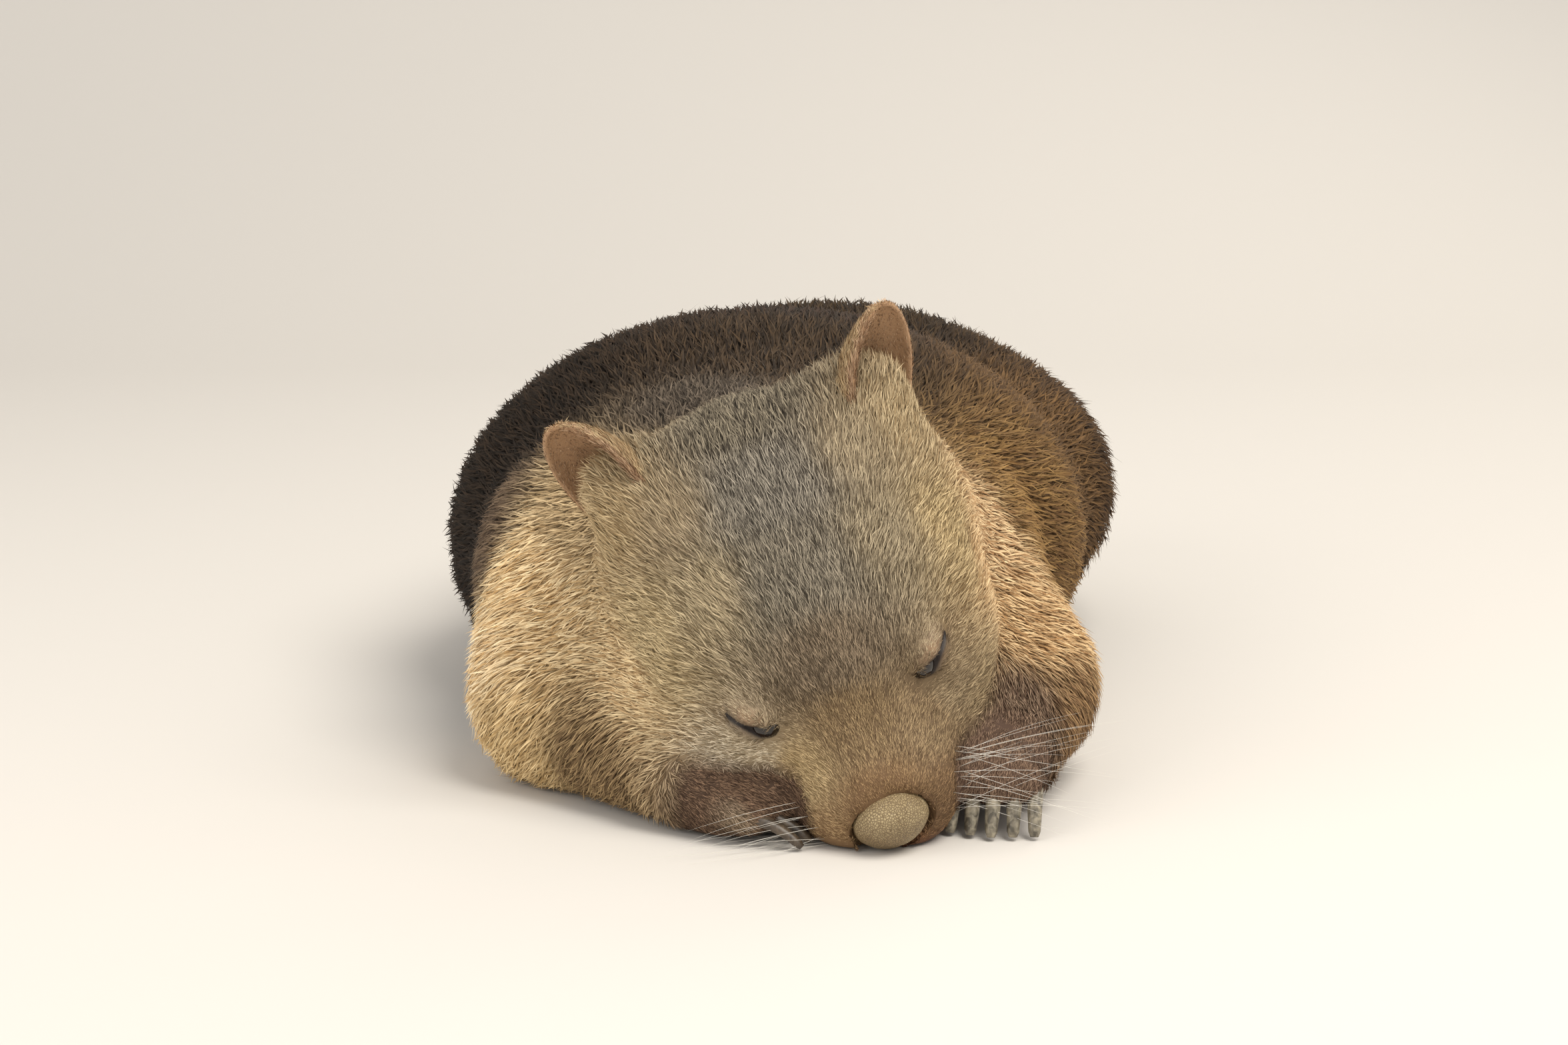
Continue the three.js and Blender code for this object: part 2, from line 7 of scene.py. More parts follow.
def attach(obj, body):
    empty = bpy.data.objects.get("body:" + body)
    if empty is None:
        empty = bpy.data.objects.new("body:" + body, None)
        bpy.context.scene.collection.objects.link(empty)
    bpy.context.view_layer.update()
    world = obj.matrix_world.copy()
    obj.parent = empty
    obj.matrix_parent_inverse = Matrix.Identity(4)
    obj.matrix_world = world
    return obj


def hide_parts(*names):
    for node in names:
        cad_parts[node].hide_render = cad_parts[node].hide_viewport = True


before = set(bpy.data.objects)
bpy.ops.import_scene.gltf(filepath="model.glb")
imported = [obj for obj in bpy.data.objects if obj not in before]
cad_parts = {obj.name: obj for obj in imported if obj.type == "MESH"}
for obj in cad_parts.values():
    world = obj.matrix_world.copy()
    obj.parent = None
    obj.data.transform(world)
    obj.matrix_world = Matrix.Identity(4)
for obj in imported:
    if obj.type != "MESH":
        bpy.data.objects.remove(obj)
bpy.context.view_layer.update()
mm = 0.001

# How close to the floor the skin comes, and the hair and claws, in metres
skinFloor = 0.0004
tipFloor = 0.0003

# Where the modelling frame, in mm, sits in the row frame, and how the head is held in it
rowShift = np.array([-24.165, -391.637, 0.0])
headPose = {"place": (75, 97, -24), "yaw": 24, "pitch": 42, "roll": -27.5}


def turn(axis, degrees):
    return np.array(Matrix.Rotation(math.radians(degrees), 3, axis))


headTurn = turn("Z", headPose["yaw"]) @ turn("X", headPose["pitch"]) @ turn("Y", headPose["roll"])


def fromHead(points):
    # head coordinates: x to its left side, y back from the nose, z up from the lower jaw
    return np.asarray(points, float) @ headTurn.T + headPose["place"]


def toHead(points):
    return (np.asarray(points, float) - headPose["place"]) @ headTurn


def toRow(points):
    return (np.asarray(points, float) + rowShift) * mm


def fromRow(points):
    return np.asarray(points, float) / mm - rowShift


def srgb(code):
    # hex to linear
    parts = [int(code[i:i + 2], 16) / 255 for i in (1, 3, 5)]
    return np.array([c / 12.92 if c <= 0.04045 else ((c + 0.055) / 1.055) ** 2.4 for c in parts])


def blend(base, other, share):
    return base * (1 - share) + other * share


def newObject(name, data):
    obj = bpy.data.objects.new(name, data)
    bpy.context.scene.collection.objects.link(obj)
    return obj


def shadeSmooth(mesh):
    for polygon in mesh.polygons:
        polygon.use_smooth = True


def paint(mesh, tone):
    # the colour at each point, which the hide, the lids, the ears and the coat show
    layer = mesh.color_attributes.new("coatColour", "FLOAT_COLOR", "POINT")
    layer.data.foreach_set("color", np.column_stack([tone, np.ones(len(tone))]).ravel())


def makeCamera():
    # long lens a little above the animal, the photograph's own angle
    view = {"eye": (-6.3, -1270.9, 410.0), "aim": (8.3, -288.7, 222.7), "fieldOfView": 29.0}
    camera = newObject("camera", bpy.data.cameras.new("camera"))
    eye = Vector(toRow(view["eye"]))
    aim = Vector(toRow(view["aim"]))
    camera.location = eye
    camera.rotation_euler = (aim - eye).to_track_quat("-Z", "Y").to_euler()
    camera.data.sensor_width = 36
    camera.data.angle = math.radians(view["fieldOfView"])
    camera.data.clip_end = 50
    bpy.context.scene.camera = camera


def addNode(tree, kind, settings=None, links=None):
    # one shader node with its settings, inputs and links
    node = tree.nodes.new("ShaderNode" + kind)
    for name, value in (settings or {}).items():
        if hasattr(node, name) and name not in node.inputs:
            setattr(node, name, value)
        else:
            node.inputs[name].default_value = value
    for name, socket in (links or {}).items():
        tree.links.new(socket, node.inputs[name])
    return node


def addTexture(tree, kind, settings):
    # a texture laid out in the piece's own Object coordinates
    where = addNode(tree, "TexCoord")
    return addNode(tree, kind, settings, {"Vector": where.outputs["Object"]})


def addRamp(tree, factor, low, high, start=0.0, end=1.0):
    # a ramp between two linear colours
    ramp = addNode(tree, "ValToRGB", {}, {"Fac": factor})
    first, last = ramp.color_ramp.elements
    first.color = (*low, 1)
    last.color = (*high, 1)
    first.position = start
    last.position = end
    return ramp


def newMaterial(name):
    material = bpy.data.materials.new(name)
    material.use_nodes = True
    tree = material.node_tree
    tree.nodes.clear()
    return material, tree


def finishMaterial(tree, shader):
    output = tree.nodes.new("ShaderNodeOutputMaterial")
    tree.links.new(shader.outputs[0], output.inputs["Surface"])


# The coat, region by region. place is in head or body coordinates in mm, reach is how far the region
# counts, lie is the way the hair runs, then length and width of a tuft, its lift in degrees off the
# skin, the depth of the coat, and the colours of its shaded and its light hairs. On the animal's right
# flank these colours carry painted shade over the dark brown of the fur
coatRegions = [
    # frame, place, reach, lie, length, width, lift, depth, dark, light
    ("head", (0, 12, 66), 14, (0, 1, 0.1), 2.8, 0.26, 13, 0.8, "#5f452e", "#b3946d"),
    ("head", (-22, 22, 40), 16, (-0.4, 1, 0.1), 3.0, 0.26, 13, 0.8, "#6a4e34", "#c3a67c"),
    ("head", (22, 22, 40), 16, (0.4, 1, 0.1), 3.0, 0.26, 13, 0.8, "#553f2b", "#a58663"),
    ("head", (0, 14, 18), 16, (0, 1, -0.3), 2.4, 0.30, 10, 0.5, "#5d3623", "#9a6c4c"),
    ("head", (0, 44, 84), 18, (0, 1, 0.3), 4.6, 0.30, 14, 1.3, "#584430", "#b39a74"),
    ("head", (-30, 44, 62), 16, (-0.45, 1, 0.0), 4.8, 0.30, 14, 1.3, "#7a6444", "#d0b88c"),
    ("head", (30, 44, 62), 16, (0.45, 1, 0.0), 4.8, 0.30, 14, 1.3, "#5f4b38", "#b29a76"),
    ("head", (0, 74, 98), 20, (0, 1, 0.2), 6.6, 0.34, 14, 1.8, "#4a3e30", "#a5927a"),
    ("head", (0, 108, 112), 26, (0, 1, 0.1), 9.0, 0.38, 15, 2.4, "#413a30", "#a99e8b"),
    ("head", (0, 150, 118), 26, (0, 1, 0.0), 10.0, 0.40, 15, 3.0, "#3f3932", "#a49b8c"),
    ("head", (0, 192, 120), 24, (0, 1, -0.2), 11.0, 0.60, 16, 4.0, "#3b342b", "#938874"),
    ("head", (-34, 116, 100), 20, (-0.45, 1, 0.0), 9.5, 0.39, 15, 2.6, "#66573f", "#c8b694"),
    ("head", (34, 116, 100), 20, (0.45, 1, 0.0), 9.5, 0.39, 15, 2.6, "#574935", "#b9a98c"),
    ("head", (-62, 120, 82), 20, (-0.7, 1, -0.3), 9.5, 0.50, 16, 3.2, "#84704d", "#dcc79d"),
    ("head", (62, 120, 82), 20, (0.7, 1, -0.3), 9.5, 0.50, 16, 3.2, "#786341", "#cfb88c"),
    ("head", (-43, 58, 62), 14, (-0.8, 0.8, -0.3), 5.0, 0.38, 13, 1.6, "#8a7758", "#eee0c6"),
    ("head", (43, 58, 62), 14, (0.8, 0.8, -0.3), 5.0, 0.38, 13, 1.6, "#6c5a43", "#b09c7c"),
    ("head", (-38, 60, 48), 15, (-0.9, 0.6, -0.3), 8.0, 0.42, 17, 2.2, "#9a8f7a", "#f4eddd"),
    ("head", (-50, 78, 40), 18, (-0.8, 0.8, -0.2), 7.0, 0.42, 15, 2.4, "#9a886c", "#f3e8d2"),
    ("head", (50, 78, 40), 18, (0.8, 0.8, -0.2), 7.0, 0.42, 15, 2.4, "#7f6c50", "#bda985"),
    ("head", (-80, 120, 46), 24, (-0.8, 0.9, -0.4), 12.0, 0.60, 18, 4.5, "#b8966a", "#f6e0b4"),
    ("head", (80, 120, 46), 24, (0.7, 0.9, -0.5), 12.0, 0.60, 18, 4.5, "#a58158", "#e3c79c"),
    ("head", (-60, 172, 104), 16, (-0.5, 0.9, 0.3), 9.0, 0.50, 18, 3.0, "#947c58", "#cdb78f"),
    ("head", (60, 172, 104), 16, (0.5, 0.9, 0.4), 9.0, 0.50, 18, 3.0, "#947d5b", "#cdb994"),
    ("head", (-40, 160, 112), 16, (-0.3, 1, 0.1), 10.0, 0.42, 15, 3.0, "#7d6c54", "#bca98a"),
    ("head", (40, 160, 112), 16, (0.3, 1, 0.1), 10.0, 0.42, 15, 3.0, "#7a6a54", "#b9a88a"),
    ("head", (0, 90, -6), 34, (0, 1, -0.2), 10.0, 0.60, 15, 3.0, "#6d5638", "#a38a62"),
    ("body", (-92, 190, 150), 34, (-0.5, 0.7, -0.5), 14.0, 0.75, 18, 5.0, "#8a7352", "#d4bb92"),
    ("body", (-118, 190, 105), 34, (-0.7, 0.5, -0.7), 15.0, 0.80, 20, 5.5, "#c39f6c", "#f8e3b8"),
    ("body", (-135, 200, 62), 34, (-0.8, 0.4, -0.7), 15.0, 0.80, 22, 5.5, "#cca874", "#fbebc8"),
    ("body", (-112, 172, 30), 30, (-0.7, 0.1, -0.8), 14.0, 0.75, 22, 5.0, "#a88a5c", "#e6cc9c"),
    ("body", (-70, 135, 30), 26, (-0.7, -0.1, -0.7), 12.0, 0.65, 20, 4.0, "#5f4a33", "#a78d66"),
    ("body", (-140, 245, 120), 36, (-0.3, 0.8, -0.5), 18.0, 0.9, 18, 6.0, "#45362a", "#7c6854"),
    ("body", (-30, 235, 195), 36, (0, 1, -0.1), 16.0, 0.85, 15, 5.5, "#332b23", "#6b5f52"),
    ("body", (118, 190, 130), 30, (0.5, 0.7, -0.5), 14.0, 0.75, 18, 5.0, "#a87f56", "#ecd2a6"),
    ("body", (140, 185, 85), 30, (0.7, 0.3, -0.7), 14.0, 0.75, 20, 5.0, "#a47c50", "#e9cb9c"),
    ("body", (150, 170, 45), 26, (0.7, -0.1, -0.7), 12.0, 0.65, 20, 4.0, "#5f452f", "#a3835c"),
    ("body", (128, 145, 52), 20, (0.2, -0.8, -0.5), 9.0, 0.5, 18, 3.0, "#513c2e", "#97806a"),
    ("body", (70, 240, 190), 36, (0.3, 1, -0.2), 17.0, 0.85, 16, 5.5, "#5a4429", "#8d7047"),
    ("body", (145, 270, 120), 40, (0.4, 0.8, -0.5), 19.0, 0.9, 17, 6.0, "#6a4c29", "#9b7a4a"),
    ("body", (160, 330, 90), 50, (0.2, 1, -0.35), 22.0, 1.0, 16, 6.5, "#60452a", "#8f7045"),
    ("body", (15, 330, 210), 60, (0, 1, -0.05), 22.0, 1.0, 14, 6.5, "#261d15", "#4c3c2b"),
    # the animal's right flank behind the shoulder: dark brown fur with painted shade, near-black on the side
    # away from the light
    ("body", (-130, 340, 130), 60, (-0.1, 1, -0.2), 22.0, 1.0, 14, 6.5, "#17110c", "#33271c"),
    ("body", (-150, 360, 60), 60, (-0.1, 1, -0.25), 22.0, 1.0, 15, 6.5, "#150f0a", "#2e2218"),
    ("body", (30, 450, 215), 70, (0, 1, -0.05), 24.0, 1.05, 14, 7.0, "#1f1811", "#41322a"),
    ("body", (150, 430, 130), 60, (0.1, 1, -0.2), 24.0, 1.05, 15, 7.0, "#4c3721", "#745735"),
    # the animal's right flank further back: dark brown fur with painted shade
    ("body", (-120, 470, 120), 70, (-0.1, 1, -0.2), 24.0, 1.05, 15, 7.0, "#1b140e", "#38291d"),
    ("body", (45, 570, 195), 70, (0, 1, -0.2), 24.0, 1.05, 14, 7.0, "#221912", "#43331f"),
    ("body", (205, 520, 100), 50, (0.1, 0.8, -0.6), 22.0, 1.0, 18, 6.5, "#33251a", "#56402a"),
    ("body", (-110, 590, 100), 60, (-0.1, 0.8, -0.6), 22.0, 1.0, 16, 6.5, "#2c2016", "#4c3825"),
    ("body", (50, 700, 110), 60, (0, 0.4, -0.9), 20.0, 1.0, 16, 6.0, "#3a2b1c", "#5f4931"),
    ("body", (-10, 112, 22), 16, (1, -0.3, -0.1), 4.5, 0.42, 12, 1.2, "#3a2822", "#6d5748"),
    ("body", (116, 108, 26), 14, (-0.1, -1, -0.3), 4.5, 0.42, 12, 1.2, "#463931", "#80705f"),
    ("body", (-130, 480, 22), 24, (-0.2, -1, 0), 7.0, 0.6, 14, 2.0, "#33261c", "#5a4634"),
    ("body", (190, 470, 22), 24, (0.2, -1, 0), 7.0, 0.6, 14, 2.0, "#33261c", "#5a4634"),
    ("body", (10, 300, 4), 60, (0, 1, 0), 16.0, 1.0, 12, 4.0, "#5a452c", "#8d7350"),
]


def smoothNoise(points, size, seed):
    # a few crossed waves, enough for soft patches and cowlicks in the coat
    waves = 6
    pace = 2 * math.pi / size
    local = np.random.default_rng(seed)
    total = np.zeros(len(points))
    for _ in range(waves):
        way = local.normal(size=3)
        way /= np.linalg.norm(way)
        total += np.sin(points @ way * pace * local.uniform(0.7, 1.5) + local.uniform(0, 6.28))
    return total / waves


def regionArrays():
    rows = []
    for kind, place, reach, lie, *rest in coatRegions:
        spot = fromHead([place])[0] if kind == "head" else np.array(place, float)
        way = headTurn @ np.array(lie, float) if kind == "head" else np.array(lie, float)
        way = way / np.linalg.norm(way)
        numbers = np.array(rest[:4], float)
        rows.append(np.concatenate([spot, [reach], way, numbers, srgb(rest[4]), srgb(rest[5])]))
    return np.array(rows)


regionTable = regionArrays()

# The paws: wrist, palm, the way the toes point, how far the claws drop, how far round and how high the
# paw's own hair goes, the toes, the length and width of a claw, and the colours of the hair
pawPlan = {
    "fore_right": {"wrist": (-36, 118, 24), "palm": (-14, 98, 18), "heading": (0.98, -0.18), "drop": 10,
                   "radius": 24, "top": 41, "toes": 5, "claw": 24, "width": 8,
                   "dark": "#35251c", "light": "#8a6f59"},
    "fore_left": {"wrist": (128, 142, 30), "palm": (117, 119, 27), "heading": (-0.2, -0.98), "drop": 21,
                  "radius": 21, "top": 74, "toes": 5, "claw": 24, "width": 8,
                   "dark": "#453127", "light": "#957b66"},
    "hind_right": {"wrist": (-112, 575, 24), "palm": (-136, 472, 18), "heading": (-24, -103), "drop": 8,
                   "radius": 27, "top": 50, "toes": 4, "claw": 20, "width": 6.8,
                   "dark": "#201813", "light": "#44352a"},
    "hind_left": {"wrist": (158, 575, 24), "palm": (166, 480, 18), "heading": (8, -95), "drop": 8,
                  "radius": 27, "top": 50, "toes": 4, "claw": 20, "width": 6.8,
                   "dark": "#2a1f18", "light": "#54432f"},
}
toeSpacing = 8.4
toeFan = 0.05


def pawShare(points, paw):
    # 1 on the paw itself, fading to 0 a few mm off it
    start = np.array(paw["wrist"], float)
    ahead = np.array([*paw["heading"], 0.0]) / np.hypot(*paw["heading"])
    end = np.array(paw["palm"], float) + ahead * 22
    along = end - start
    t = np.clip((points - start) @ along / (along @ along), 0, 1)
    far = np.linalg.norm(points - start - t[:, None] * along, axis=1)
    near = np.clip((paw["radius"] * (1 - 0.25 * t) + 11 - far) / 6, 0, 1)
    past = np.clip(t / 0.3 + 0.2 * smoothNoise(points, 8, 13), 0, 1)
    low = np.clip((paw["top"] + 2.5 * smoothNoise(points, 7, 12) - points[:, 2]) / 7, 0, 1)
    return near * past * low


def coatAt(points):
    # the coat's lie, sizes and colours at points in modelling mm, as soft blends of the regions
    batch = 60000
    result = np.zeros((len(points), 13))
    for start in range(0, len(points), batch):
        part = points[start:start + batch]
        far2 = ((part[:, None, :] - regionTable[None, :, :3]) ** 2).sum(2)
        weight = 1 / (far2 / regionTable[:, 3] ** 2 + 0.06) ** 2.6
        weight /= weight.sum(1, keepdims=True)
        result[start:start + batch] = weight @ regionTable[:, 4:]
    for paw in pawPlan.values():
        share = pawShare(points, paw)[:, None]
        way = np.array([*paw["heading"], -0.4]) / np.hypot(*paw["heading"])
        hair = np.concatenate([way, [4.6, 0.36, 14, 1.2], srgb(paw["dark"]), srgb(paw["light"])])
        result = blend(result, hair, share)
    return {"lie": result[:, 0:3], "length": result[:, 3], "width": result[:, 4], "lift": result[:, 5],
            "depth": result[:, 6], "dark": result[:, 7:10], "light": result[:, 10:13]}


def mixTones(coat, dark, light, share):
    # two hex tones mixed into the shaded and the light hairs
    coat["dark"] = blend(coat["dark"], srgb(dark), share)
    coat["light"] = blend(coat["light"], srgb(light), share)


def meshArrays(obj):
    mesh = obj.data
    verts = np.empty(len(mesh.vertices) * 3)
    mesh.vertices.foreach_get("co", verts)
    normals = np.empty(len(mesh.vertices) * 3)
    mesh.vertex_normals.foreach_get("vector", normals)
    return verts.reshape(-1, 3), normals.reshape(-1, 3)


def setVerts(obj, verts):
    obj.data.vertices.foreach_set("co", np.asarray(verts, float).ravel())
    obj.data.update()


def applyModifiers(obj):
    graph = bpy.context.evaluated_depsgraph_get()
    mesh = bpy.data.meshes.new_from_object(obj.evaluated_get(graph))
    old = obj.data
    obj.modifiers.clear()
    obj.data = mesh
    bpy.data.meshes.remove(old)


def gone(points, centre, reach):
    # 1 at the centre, fading to 0 at the reach
    far = np.linalg.norm(points - centre, axis=1) / reach
    return np.where(far < 1, (1 - far ** 2) ** 2, 0)


fleshNodes = [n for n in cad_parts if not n.startswith(("claw", "eye", "nose", "ear"))]


def makeSkin():
    # one skin over all the flesh: copies of the solids run together, smoothed, then let in by the coat
    plan = {"swell": 0.4, "voxel": 3.6, "smoothing": 14, "lidDetail": 26, "noseDetail": 40}
    work = bmesh.new()
    for name in fleshNodes:
        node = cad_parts[name]
        copy = bmesh.new()
        copy.from_mesh(node.data)
        copy.transform(node.matrix_world)
        bmesh.ops.remove_doubles(copy, verts=copy.verts, dist=1e-5)
        copy.normal_update()
        for vert in copy.verts:
            vert.co += vert.normal * (plan["swell"] * mm)
        mesh = bpy.data.meshes.new("part")
        copy.to_mesh(mesh)
        copy.free()
        work.from_mesh(mesh)
        bpy.data.meshes.remove(mesh)
    mesh = bpy.data.meshes.new("skin")
    work.to_mesh(mesh)
    work.free()
    skin = newObject("skin", mesh)
    remesh = skin.modifiers.new("remesh", "REMESH")
    remesh.mode = "VOXEL"
    remesh.voxel_size = plan["voxel"] * mm
    smooth = skin.modifiers.new("smooth", "SMOOTH")
    smooth.factor = 0.5
    smooth.iterations = plan["smoothing"]
    applyModifiers(skin)
    keepLargest(skin)
    refine(skin, fromHead([(-43, 66, 84), (43, 66, 84)]), plan["lidDetail"], 2)
    refine(skin, fromHead([(0, 10, 40)]), plan["noseDetail"], 1)
    verts, normals = meshArrays(skin)
    depth = coatAt(fromRow(verts))["depth"]
    verts = verts - normals * depth[:, None] * mm
    verts[:, 2] = np.maximum(verts[:, 2], skinFloor)
    setVerts(skin, verts)
    sculptFace(skin)
    shadeSmooth(skin.data)
    print("skin", len(skin.data.vertices), "points")
    return skin


def keepLargest(obj):
    # drops any scrap that the remeshing left inside
    work = bmesh.new()
    work.from_mesh(obj.data)
    work.verts.ensure_lookup_table()
    seen = np.zeros(len(work.verts), bool)
    groups = []
    for vert in work.verts:
        if seen[vert.index]:
            continue
        group = []
        stack = [vert]
        seen[vert.index] = True
        while stack:
            current = stack.pop()
            group.append(current)
            for edge in current.link_edges:
                other = edge.other_vert(current)
                if not seen[other.index]:
                    seen[other.index] = True
                    stack.append(other)
        groups.append(group)
    groups.sort(key=len, reverse=True)
    scraps = [vert for group in groups[1:] for vert in group]
    bmesh.ops.delete(work, geom=scraps, context="VERTS")
    work.to_mesh(obj.data)
    work.free()


def refine(obj, places, reach, times):
    # smaller faces round a few places in modelling mm
    for step in range(times):
        work = bmesh.new()
        work.from_mesh(obj.data)
        near = reach * (1 - 0.25 * step)
        spots = [Vector(toRow(place)) for place in places]
        edges = [e for e in work.edges
                 if any((e.verts[0].co - s).length < near * mm for s in spots)]
        bmesh.ops.subdivide_edges(work, edges=edges, cuts=1, use_grid_fill=True, smooth=0.0)
        bmesh.ops.triangulate(work, faces=[f for f in work.faces if len(f.verts) > 4])
        work.to_mesh(obj.data)
        work.free()


def sculptFace(skin):
    # the mouth line, the groove of the upper lip, the fold round the pad, and the forms below: how far
    # each rises in mm, its middle on the left side in head coordinates, and its reach
    face = {"mouthHeight": 17, "mouthDepth": 1.7, "mouthWidth": 1.4, "mouthBack": 88, "philtrum": 1.6}
    forms = {"lipPad": (1.6, (17, 24, 28), 20), "innerHollow": (-2.2, (33, 56, 82), 22),
             "cheek": (2.0, (48, 84, 52), 34), "outerHollow": (-1.4, (52, 92, 86), 26)}
    verts, normals = meshArrays(skin)
    local = toHead(fromRow(verts))
    x, y, z = local.T
    inside = (y < 130) & (np.abs(x) < 95) & (z < 125)
    bow = face["mouthHeight"] + 0.05 * np.maximum(y - 20, 0)
    mouth = np.exp(-((z - bow) / face["mouthWidth"]) ** 2) * np.clip((face["mouthBack"] - y) / 20, 0, 1)
    philtrum = np.exp(-(x / 1.1) ** 2) * np.clip((z - 15) / 4, 0, 1) * np.clip((34 - z) / 4, 0, 1) * (y < 22)
    move = -face["mouthDepth"] * mouth - face["philtrum"] * philtrum
    for side in (-1, 1):
        for rise, middle, reach in forms.values():
            move += rise * gone(local, np.array(middle) * (side, 1, 1), reach)
    # the bridge of the nose
    move += 1.5 * gone(local, np.array([0, 30, 72]), 22)
    padFold = gone(local, np.array(padPlan["place"]), 26) - gone(local, np.array(padPlan["place"]), 22)
    move -= 0.8 * np.maximum(padFold, 0)
    verts = verts + normals * (np.where(inside, move, 0) * mm)[:, None]
    verts[:, 2] = np.maximum(verts[:, 2], skinFloor)
    setVerts(skin, verts)


padPlan = {"place": (0, 12.6, 47), "tilt": 14, "radii": (18.2, 13, 21), "around": 72, "rows": 48}


def makeNosePad():
    # bare cobbled skin, a rounded oval with a comma-shaped nostril low on each side
    work = bmesh.new()
    bmesh.ops.create_uvsphere(work, u_segments=padPlan["around"], v_segments=padPlan["rows"], radius=1)
    pad = np.array([v.co[:] for v in work.verts])
    # rounder corners above, narrower below, a shallow middle groove low down
    pad[:, 0] *= 1 - 0.16 * np.clip(-pad[:, 2], 0, 1)
    groove = np.exp(-(pad[:, 0] / 0.05) ** 2) * np.clip(-pad[:, 2] - 0.1, 0, 1)
    pad[:, 1] *= 1 - 0.10 * groove
    for side in (-1, 1):
        # a nostril is a curved dent that runs up and out
        t = np.clip((pad[:, 2] + 0.75) / 0.55, 0, 1)
        centre = side * (0.52 + 0.28 * t)
        dent = np.exp(-((pad[:, 0] - centre) / 0.085) ** 2 - ((pad[:, 2] + 0.48) / 0.24) ** 2)
        pad *= 1 - 0.34 * (dent * (pad[:, 1] < 0.2))[:, None]
    pad *= padPlan["radii"]
    pad = pad @ turn("X", padPlan["tilt"]).T + padPlan["place"]
    points = toRow(fromHead(pad))
    points[:, 2] = np.maximum(points[:, 2], skinFloor)
    for vert, point in zip(work.verts, points):
        vert.co = point
    finishPiece(work, "nosePad", padMaterial(), "nose_skin", "nose_pad")


def finishPiece(work, name, material, slotName, *nodes):
    mesh = bpy.data.meshes.new(name)
    bmesh.ops.recalc_face_normals(work, faces=work.faces)
    work.to_mesh(mesh)
    work.free()
    shadeSmooth(mesh)
    obj = newObject(name, mesh)
    mesh.materials.append(material)
    if nodes:
        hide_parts(*nodes)
    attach(obj, "root")
    return obj


def padMaterial():
    # bare rhinarium: matt grey-tan leather cobbled about 1.2 mm apart, with painted shade darkening the
    # cracks
    material, tree = newMaterial("noseLeather")
    cobble = addTexture(tree, "TexVoronoi", {"feature": "DISTANCE_TO_EDGE", "Scale": 820.0})
    patch = addTexture(tree, "TexNoise", {"Scale": 60.0, "Detail": 2.0})
    tone = addRamp(tree, patch.outputs["Fac"], srgb("#97825f"), srgb("#bba882"), 0.32, 0.7)
    # painted shade in the cracks between the cobbles
    crackShade = addRamp(tree, cobble.outputs["Distance"], (0.36, 0.32, 0.28), (1, 1, 1), 0.0, 0.22)
    mix = addNode(tree, "Mix", {"data_type": "RGBA", "blend_type": "MULTIPLY"})
    mix.inputs[0].default_value = 1.0
    tree.links.new(tone.outputs["Color"], mix.inputs[6])
    tree.links.new(crackShade.outputs["Color"], mix.inputs[7])
    relief = {"Strength": 1.0, "Distance": 0.0009}
    bump = addNode(tree, "Bump", relief, {"Height": cobble.outputs["Distance"]})
    shader = addNode(tree, "BsdfPrincipled", {"Roughness": 0.48, "Specular IOR Level": 0.4},
                     {"Base Color": mix.outputs[2], "Normal": bump.outputs["Normal"]})
    finishMaterial(tree, shader)
    return material


eyePlan = {"span": 43, "back": 68, "height": 84, "patchWidth": 17, "patchHeight": 14, "cells": 64,
           "ball": 8.5, "proud": 0.8, "towardNose": 6.2, "low": 1.6}


def eyeFrame(tree, side):
    # on the skin where the eye lies: along the slit towards the ear, up the lid, and outwards
    centre = Vector(toRow(fromHead([(side * eyePlan["span"], eyePlan["back"], eyePlan["height"])]))[0])
    place, normal, _, _ = tree.find_nearest(centre)
    out = np.array(normal)
    along = headTurn @ np.array([side * 0.5, 0.85, 0.1])
    along -= out * along.dot(out)
    along /= np.linalg.norm(along)
    up = np.cross(out, along)
    if up @ (headTurn @ np.array([-side * 0.3, 0, 1])) < 0:
        up = -up
    return np.array(place), along, up, out


def inEye(points, eye):
    # where points of the row frame lie, in mm along the slit from its middle, up the lid and outwards
    place, along, up, out = eye
    away = points - place
    return away @ along / mm, away @ up / mm, away @ out / mm


def slitLine(x):
    # how high the slit runs, drooping towards both ends
    return -1.2 - 0.016 * x ** 2


def lidHighlight(x, y):
    # 1 where the upper lid is fullest, where a painted highlight pales the lid and its hair
    return np.exp(-((x - 1) / 9) ** 2 - ((y - 4.6) / 3.0) ** 2)[:, None]


def lidHeight(x, y):
    # x along the slit with the nose side negative, y up the lid; heights over the skin in mm
    line = slitLine(x)
    upper = 1.3 * np.exp(-((x - 0.5) / 8.0) ** 2 - ((y - 3.2) / 3.6) ** 2)
    lower = 0.9 * np.exp(-((x + 0.5) / 8.0) ** 2 - ((y + 5.4) / 2.8) ** 2)
    slitEnds = 1 / (1 + np.exp((np.abs(x + 0.5) - 9.5) / 0.7))
    slit = 2.8 * np.exp(-((y - line) / 0.95) ** 2) * slitEnds
    corner = 2.8 * np.exp(-((x + 6.5) / 3.2) ** 2 - ((y - line + 0.2) / 1.8) ** 2)
    crease = 0.9 * np.exp(-((y - 9.0 + 0.02 * x ** 2) / 1.2) ** 2 - (x / 11) ** 2)
    tail = 1.1 * np.exp(-((y - line - 0.35 * (x - 9)) / 0.9) ** 2) * np.exp(-((x - 12) / 3.5) ** 2)
    wrinkles = 0.22 * np.sin(y * 2.3 + 0.05 * x ** 2) * np.exp(-(x / 10) ** 2 - ((y - 5) / 4) ** 2)
    return np.maximum(1.6 + upper + lower - slit - corner - crease - tail + wrinkles, 0.3)


